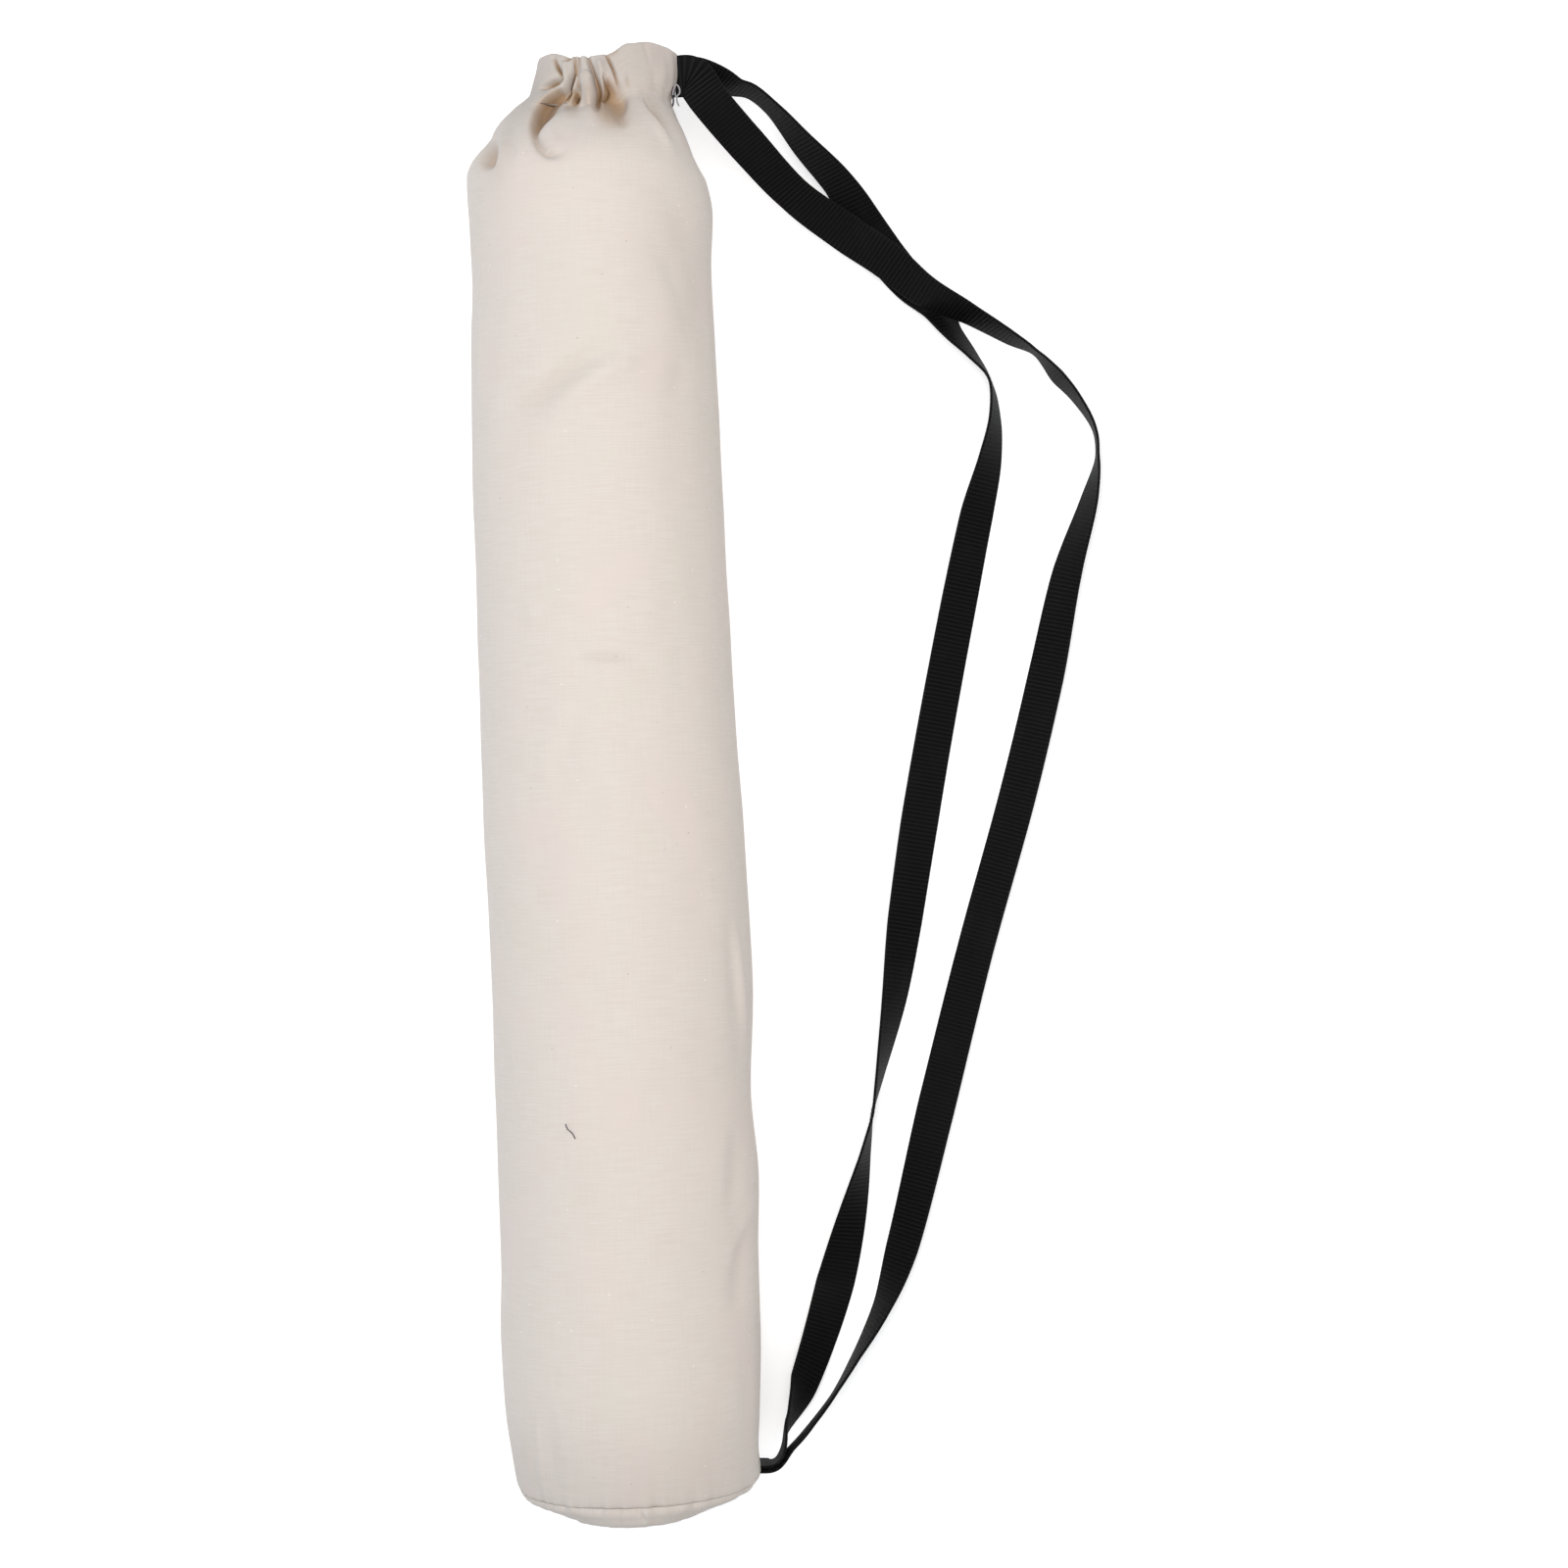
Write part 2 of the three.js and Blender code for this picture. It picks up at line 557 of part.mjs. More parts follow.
// Drawstring casing: a hem of two layers with a lip, a tunnel for the webbing and one exit slot
function mouthCasing() {
  const outer = CASING_ROWS.map((row) => outerLayerRing(row, 0));
  const inner = CASING_ROWS.map((row) => innerLayerRing(row.along, row.inward, 0)).reverse();
  const lip = columnAngles().map((angle) => {
    const crest = ovalPoint(angle, 0);
    return casingPoint(crest.x, crest.z, CASING_DEPTH, angle);
  });
  const hem = toSolid(loft([...outer, lip, ...inner], true));
  const exit = strapExit();
  const slotHeight = STACK + 2 * STRAP_CLEARANCE;
  const slotWidth = STRAP_WIDTH + 2 * STRAP_CLEARANCE;
  const slotReach = PLEAT_DEPTH + 2 * CANVAS + STRAP_CLEARANCE;
  const slot = boxAt(slotReach, slotWidth, slotHeight, exit.x, exit.y, exit.z);
  return toGeometry(hem.subtract(toSolid(casingTunnel())).subtract(toSolid(slot)));
}

// Hollow between the casing's layers
function casingTunnel() {
  const floor = SEAM_GAP + CANVAS;
  const depth = STRAP_WIDTH + 2 * STRAP_CLEARANCE;
  const snug = STRAP_THICKNESS / 2 + STRAP_CLEARANCE;
  const outerFace = TUNNEL_ROWS.map((row) => {
    const fromSeam = floor + row.along * depth;
    const shell = outerLayerRing({ ...CASING_ROWS[1], along: fromSeam / CASING_DEPTH }, CANVAS);
    return shell.map((point, column) => {
      const angle = columnAngle(column);
      const close = ovalPoint(angle, snug);
      const open = Math.max(row.open, exitFlare(angle));
      return casingPoint(mix(close.x, point.x, open), mix(close.z, point.z, open), fromSeam, angle);
    });
  });
  const innerFace = TUNNEL_ROWS.map((row) => {
    const fromSeam = floor + row.along * depth;
    return columnAngles().map((angle) => {
      const ripple = RIPPLE_DEPTH * pleatShare(angle) * row.open;
      const face = ovalPoint(angle, -snug - ripple);
      return casingPoint(face.x, face.z, fromSeam, angle);
    });
  });
  return loft(outerFace.concat(innerFace.reverse()), true);
}

// Webbing along a line of stations, each with its place, its width direction and its normal
function webbing(stations) {
  const halfWidth = STRAP_WIDTH / 2;
  const halfThickness = STRAP_THICKNESS / 2;
  const corners = [[1, 1], [-1, 1], [-1, -1], [1, -1]];
  const rings = stations.map((station) => corners.map(([side, face]) => station.place.clone()
    .addScaledVector(station.across, side * halfWidth)
    .addScaledVector(station.normal, face * halfThickness)));
  return loft(rings, false, corners.length / 2);
}

// Height at which webbing of a given roll lies on the surface
function lyingHeight(roll) {
  const tilt = Math.abs(roll) * DEGREE;
  return (STRAP_WIDTH / 2) * Math.sin(tilt) + (STRAP_THICKNESS / 2) * Math.cos(tilt) + LYING_GAP;
}

// One free strand of the strap, from inside the casing's slot to inside the base seam.
// A row's lift is counted from where webbing of its roll would lie.
function strapStrand(route, exitStack, anchorStack) {
  const exit = strapExit();
  const anchor = strapAnchor();
  const exitLift = exit.z + exitStack - lyingHeight(0);
  const anchorLift = anchor.z - lyingHeight(90);
  const rows = [
    { plan: new THREE.Vector3(exit.x - CANVAS, exit.y, exitLift), roll: 0 },
    { plan: new THREE.Vector3(exit.x + STRAP_LEAD, exit.y, exitLift), roll: 0 },
  ];
  for (const row of route) {
    const end = row.along < 0.5 ? exit : anchor;
    const x = mix(exit.x, anchor.x, row.along) + row.out * STRAP_REACH;
    const y = mix(exit.y, anchor.y, row.along);
    rows.push({ plan: new THREE.Vector3(x, y, row.lift * end.z), roll: row.roll });
  }
  const anchorY = anchor.y + anchorStack;
  const endRoll = route[route.length - 1].roll;
  rows.push({ plan: new THREE.Vector3(anchor.x + STRAP_LEAD, anchorY, anchorLift), roll: endRoll });
  rows.push({ plan: new THREE.Vector3(anchor.x - CANVAS - STRAP_TAIL, anchorY, anchorLift), roll: endRoll });
  return webbing(routeStations(rows));
}

// Stations at even steps along a smooth line through the rows, with the roll eased between them
function routeStations(rows) {
  const curve = new THREE.CatmullRomCurve3(rows.map((row) => row.plan), false, 'centripetal');
  const steps = Math.round(curve.getLength() / STRAP_STEP);
  const stations = Array.from({ length: steps + 1 }, (_, step) => {
    const share = curve.getUtoTmapping(step / steps);
    const position = share * (rows.length - 1);
    const row = Math.min(Math.floor(position), rows.length - 2);
    const roll = mix(rows[row].roll, rows[row + 1].roll, position - row);
    const place = curve.getPoint(share);
    place.z = Math.max(place.z, 0) + lyingHeight(roll);
    return { place, roll: roll * DEGREE };
  });
  const up = new THREE.Vector3(0, 0, 1);
  return stations.map(({ place, roll }, step) => {
    const isEnd = step === 0 || step === steps;
    const forward = isEnd
      ? curve.getTangent(step / steps)
      : new THREE.Vector3().subVectors(stations[step + 1].place, stations[step - 1].place).normalize();
    const side = new THREE.Vector3().crossVectors(forward, up).normalize();
    const rise = new THREE.Vector3().crossVectors(side, forward);
    return {
      place,
      across: side.clone().multiplyScalar(Math.cos(roll)).addScaledVector(rise, Math.sin(roll)),
      normal: rise.clone().multiplyScalar(Math.cos(roll)).addScaledVector(side, -Math.sin(roll)),
    };
  });
}

// The strap's run inside the casing: once round the mouth, with both ends turned out to the slot
function strapCasingRun() {
  const exit = strapExit();
  const oval = webbingOval();
  const stackHalf = (STACK - STRAP_THICKNESS) / 2;
  const endX = exit.x - CANVAS - SEAM_GAP;
  const line = new THREE.CurvePath();
  const start = Math.asin((stackHalf + BEND_RADIUS) / oval.high);
  const upperX = NECK_SHIFT + oval.wide * Math.cos(start);
  const upper = new THREE.Vector2(upperX, NECK_HEIGHT + oval.high * Math.sin(start));
  const lower = new THREE.Vector2(upper.x, 2 * NECK_HEIGHT - upper.y);
  const upperEnd = new THREE.Vector2(endX, NECK_HEIGHT + stackHalf);
  const lowerEnd = new THREE.Vector2(endX, NECK_HEIGHT - stackHalf);
  const upperCorner = new THREE.Vector2(upper.x, upperEnd.y);
  const lowerCorner = new THREE.Vector2(lower.x, lowerEnd.y);
  line.add(new THREE.QuadraticBezierCurve(upperEnd, upperCorner, upper));
  line.add(new THREE.EllipseCurve(NECK_SHIFT, NECK_HEIGHT, oval.wide, oval.high, start, 2 * Math.PI - start));
  line.add(new THREE.QuadraticBezierCurve(lower, lowerCorner, lowerEnd));
  const points = [];
  for (const curve of line.curves) {
    const isOval = curve instanceof THREE.EllipseCurve;
    const part = curve.getSpacedPoints(isOval ? RUN_STEPS : BEND_STEPS);
    points.push(...(points.length ? part.slice(1) : part));
  }
  const across = new THREE.Vector3(0, 1, 0);
  const stations = points.map((point, index) => {
    const before = points[Math.max(index - 1, 0)];
    const after = points[Math.min(index + 1, points.length - 1)];
    const forward = new THREE.Vector3(after.x - before.x, 0, after.y - before.y).normalize();
    const isEnd = index === 0 || index === points.length - 1;
    if (isEnd) forward.set(Math.sign(forward.x), 0, 0);
    const angle = Math.atan2((point.y - NECK_HEIGHT) / oval.high, (point.x - NECK_SHIFT) / oval.wide);
    const rise = neckRise(angle) - neckRise(0);
    return {
      place: new THREE.Vector3(point.x, exit.y + rise, point.y),
      across,
      normal: new THREE.Vector3().crossVectors(forward, across),
    };
  });
  return webbing(stations);
}

// Materials
const cotton = (color) => new THREE.MeshStandardMaterial({ color, roughness: 0.92, metalness: 0 });
const nylon = () => new THREE.MeshStandardMaterial({ color: 0x121213, roughness: 0.7, metalness: 0 });

// Assembly
function piece(name, geometry, material) {
  const mesh = new THREE.Mesh(geometry, material);
  mesh.name = name;
  return mesh;
}

const stackHalf = (STACK - STRAP_THICKNESS) / 2;
const canvasParts = new THREE.Group();
canvasParts.add(piece('bag_body', bagBody(), cotton(0xe6dccf)));
canvasParts.add(piece('base_panel', basePanel(), cotton(0xe0d5c8)));
canvasParts.add(piece('mouth_casing', mouthCasing(), cotton(0xe8dfd3)));

const strapParts = new THREE.Group();
strapParts.add(piece('strap_outer_strand', strapStrand(OUTER_ROUTE, stackHalf, -stackHalf), nylon()));
strapParts.add(piece('strap_inner_strand', strapStrand(INNER_ROUTE, -stackHalf, stackHalf), nylon()));
strapParts.add(piece('strap_casing_run', strapCasingRun(), nylon()));

const yogaMatBag = new THREE.Group();
yogaMatBag.add(canvasParts, strapParts);

export default yogaMatBag;
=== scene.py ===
import math

import bpy
import numpy as np
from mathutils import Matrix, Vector, noise


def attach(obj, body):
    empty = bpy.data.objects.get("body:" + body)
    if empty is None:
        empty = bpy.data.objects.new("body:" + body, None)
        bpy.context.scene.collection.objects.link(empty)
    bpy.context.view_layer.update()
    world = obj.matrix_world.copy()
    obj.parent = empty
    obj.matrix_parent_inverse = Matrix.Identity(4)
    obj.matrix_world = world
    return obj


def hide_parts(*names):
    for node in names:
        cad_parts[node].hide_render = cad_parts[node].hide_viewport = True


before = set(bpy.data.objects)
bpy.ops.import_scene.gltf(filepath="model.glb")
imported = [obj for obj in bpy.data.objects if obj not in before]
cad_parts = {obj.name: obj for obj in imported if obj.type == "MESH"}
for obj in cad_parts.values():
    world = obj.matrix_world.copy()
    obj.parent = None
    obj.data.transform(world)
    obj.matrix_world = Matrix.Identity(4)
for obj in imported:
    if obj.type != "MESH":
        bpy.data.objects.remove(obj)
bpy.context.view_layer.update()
scene = bpy.context.scene

MM = 0.001

# ---------------------------------------------------------------- camera
# The bag lies on the floor and the camera looks straight down on it.
CAMERA_AT = (79.927, -5.677, 1565.1)
CAMERA_TURN = math.radians(-1.99)
FRAME_PX = 1600
FOCAL_PX = 3300
SENSOR_MM = 36.0

camera_data = bpy.data.cameras.new("camera")
camera = bpy.data.objects.new("camera", camera_data)
scene.collection.objects.link(camera)
camera.location = [c * MM for c in CAMERA_AT]
camera.rotation_euler = (0, 0, CAMERA_TURN)
camera_data.sensor_width = SENSOR_MM
camera_data.lens = FOCAL_PX / FRAME_PX * SENSOR_MM
camera_data.clip_start = 0.05
camera_data.clip_end = 30
scene.camera = camera


def seen(points):
    """Where the camera sees points in millimetres: column and row of a 1600 pixel frame."""
    dx = points[..., 0] - CAMERA_AT[0]
    dy = points[..., 1] - CAMERA_AT[1]
    scale = FOCAL_PX / (CAMERA_AT[2] - points[..., 2])
    c, s = math.cos(CAMERA_TURN), math.sin(CAMERA_TURN)
    across = dx * c + dy * s
    up = -dx * s + dy * c
    return FRAME_PX / 2 + across * scale, FRAME_PX / 2 - up * scale


# ---------------------------------------------------------------- sizes, as in the part's source
BARREL_LENGTH = 604
BARREL_RADIUS = 60
SETTLE = 2.5
SHOULDER_LENGTH = 34
BASE_DEPTH = 11
CANVAS = 1.2
CORNER_PULL = 3
NECK_HALF_WIDTH = 35
NECK_HALF_HEIGHT = 28
NECK_HEIGHT = 51
NECK_SHIFT = 6.6
NECK_RISE = 6.5
PLEAT_DEPTH = 4.5
LIP = 1.8
STRAP_WIDTH = 19
STRAP_THICKNESS = 1.5
STRAP_REACH = 190
ANCHOR_HEIGHT = 42
STRAP_TAIL = 3
STRAP_LEAD = 6
BEND_RADIUS = 3
EXIT_FLARE = 24
SEAM_GAP = 0.3
STRAP_CLEARANCE = 0.5
STACK_GAP = 1.0
LYING_GAP = 0.2
GATHER_ONSET = 1.5
COLUMN_BIAS = 0.45

CASING_DEPTH = SEAM_GAP + CANVAS + STRAP_WIDTH + 2 * STRAP_CLEARANCE + LIP
BAG_LENGTH = BASE_DEPTH + BARREL_LENGTH + SHOULDER_LENGTH + CASING_DEPTH + NECK_RISE
BASE_SEAM_Y = BASE_DEPTH - BAG_LENGTH / 2
SHOULDER_Y = BASE_SEAM_Y + BARREL_LENGTH
NECK_SEAM_Y = SHOULDER_Y + SHOULDER_LENGTH
BARREL_MIDDLE = BARREL_RADIUS - SETTLE
STACK = 2 * STRAP_THICKNESS + STACK_GAP
DEGREE = math.pi / 180
ANCHOR_ANGLE = math.asin((ANCHOR_HEIGHT - BARREL_MIDDLE) / BARREL_RADIUS)
OVAL_INSET = PLEAT_DEPTH + CANVAS + STRAP_CLEARANCE + STRAP_THICKNESS / 2
OVAL_WIDE = NECK_HALF_WIDTH - OVAL_INSET
OVAL_HIGH = NECK_HALF_HEIGHT - OVAL_INSET

# Barrel outline. along: share of its length; left, right, top, under: shares of its radius.
BARREL_ROWS = [
    (0.000, 0.920, 0.945, 0.950, 0.960),
    (0.025, 0.955, 0.955, 0.975, 1.000),
    (0.060, 0.992, 0.980, 0.995, 1.000),
    (0.115, 1.008, 1.002, 1.000, 1.000),
    (0.175, 0.987, 1.007, 1.000, 1.000),
    (0.235, 0.988, 1.028, 0.995, 1.000),
    (0.300, 0.982, 0.988, 0.990, 1.000),
    (0.385, 0.982, 1.028, 0.995, 1.000),
    (0.450, 0.990, 1.020, 1.000, 1.000),
    (0.510, 1.000, 1.010, 1.000, 1.000),
    (0.570, 1.003, 0.985, 1.000, 1.000),
    (0.630, 1.005, 0.962, 0.995, 1.000),
    (0.750, 1.007, 0.938, 0.985, 1.000),
    (0.870, 0.987, 0.923, 0.980, 1.000),
    (0.935, 0.952, 0.910, 0.975, 1.000),
    (0.975, 0.957, 0.933, 0.970, 0.985),
    (1.000, 0.965, 0.893, 0.940, 0.960),
]
# Shoulder outline. along: share of its length; the rest: shares of the way from barrel to neck.
SHOULDER_ROWS = [
    (0.16, 0.00, 0.180, 0.05, 0.04),
    (0.32, 0.08, 0.355, 0.15, 0.12),
    (0.48, 0.25, 0.490, 0.31, 0.26),
    (0.64, 0.50, 0.645, 0.52, 0.46),
    (0.80, 0.65, 0.830, 0.74, 0.68),
    (1.00, 1.00, 1.000, 1.00, 1.00),
]
# Casing outline. along: share of its depth; left, right: shares of the neck's half width;
# inward: share of the way to the close fit round the webbing.
CASING_ROWS = [
    (0.00, 1.22, 0.90, 0.0),
    (0.28, 1.02, 0.97, 0.0),
    (0.60, 0.99, 1.00, 0.1),
    (0.92, 0.93, 1.00, 0.9),
]
# The same, fuller, for the cloth: along, inward
CASING_INWARD = [(0.00, 0.00), (0.28, 0.16), (0.60, 0.50), (0.92, 0.92)]
# Base panel. out: share of its depth; top, side: shares of the base seam's outline.
BASE_ROWS = [
    (0.00, 1.00, 1.000), (0.15, 1.00, 0.975), (0.42, 0.99, 0.860), (0.72, 0.96, 0.640),
    (0.90, 0.90, 0.460), (0.97, 0.78, 0.360), (1.00, 0.40, 0.200),
]
# Lean of the mouth. around: degrees; rise: share of the neck's rise.
RISE_ROWS = [
    (0, 0.90), (42, 1.15), (62, 0.92), (84, 0.12), (94, 0.03), (104, 0.03),
    (120, 0.23), (143, 0.60), (180, 0.62), (270, 0.30), (320, 0.60),
]
# Strap routes. along: share of the way from exit to anchor; out: share of the strap's reach;
# roll: degrees from flat; lift: height above lying, as a share of the nearer end's height.
OUTER_ROUTE = [
    (0.019, 0.076, -21, 0.97), (0.049, 0.164, -23, 0.76), (0.082, 0.272, -37, 0.47),
    (0.109, 0.402, -24, 0.27), (0.129, 0.499, -28, 0.21), (0.152, 0.586, -46, 0.20),
    (0.170, 0.700, -69, 0.09), (0.187, 0.799, -79, 0.00), (0.198, 0.859, -93, 0.00),
    (0.216, 0.910, -78, 0.00), (0.232, 0.954, -85, 0.00), (0.256, 0.997, -93, 0.00),
    (0.276, 1.000, -93, 0.00), (0.306, 0.975, -70, 0.00), (0.361, 0.907, -47, 0.00),
    (0.436, 0.839, -28, 0.00), (0.523, 0.750, -24, 0.00), (0.637, 0.618, -26, 0.00),
    (0.752, 0.496, -20, 0.00), (0.856, 0.386, -40, 0.00), (0.895, 0.331, -67, 0.00),
    (0.930, 0.261, -84, 0.00), (0.958, 0.195, -93, 0.12), (0.981, 0.120, -93, 0.39),
    (0.994, 0.067, -93, 0.64), (1.000, 0.043, -90, 0.75),
]
INNER_ROUTE = [
    (0.001, 0.072, -30, 0.74), (0.004, 0.134, -78, 0.52), (0.0065, 0.178, -80, 0.46),
    (0.018, 0.228, -78, 0.40), (0.043, 0.299, -62, 0.33), (0.072, 0.390, -46, 0.15),
    (0.104, 0.458, -10, 0.04), (0.142, 0.551, 14, 0.00), (0.159, 0.609, 28, 0.00),
    (0.179, 0.648, 55, 0.00), (0.198, 0.698, 71, 0.00), (0.217, 0.739, 85, 0.00),
    (0.244, 0.747, 72, 0.00), (0.276, 0.728, 52, 0.00), (0.315, 0.688, 32, 0.00),
    (0.376, 0.633, 23, 0.00), (0.470, 0.553, 19, 0.00), (0.542, 0.496, 15, 0.00),
    (0.614, 0.444, 27, 0.00), (0.671, 0.405, 50, 0.00), (0.721, 0.362, 75, 0.00),
    (0.754, 0.333, 90, 0.00), (0.786, 0.306, 73, 0.00), (0.829, 0.266, 43, 0.00),
    (0.880, 0.213, 10, 0.00), (0.920, 0.164, 27, 0.00), (0.952, 0.116, 39, 0.13),
    (0.976, 0.071, 80, 0.40), (0.989, 0.057, 90, 0.65), (0.995, 0.046, 90, 0.74),
]

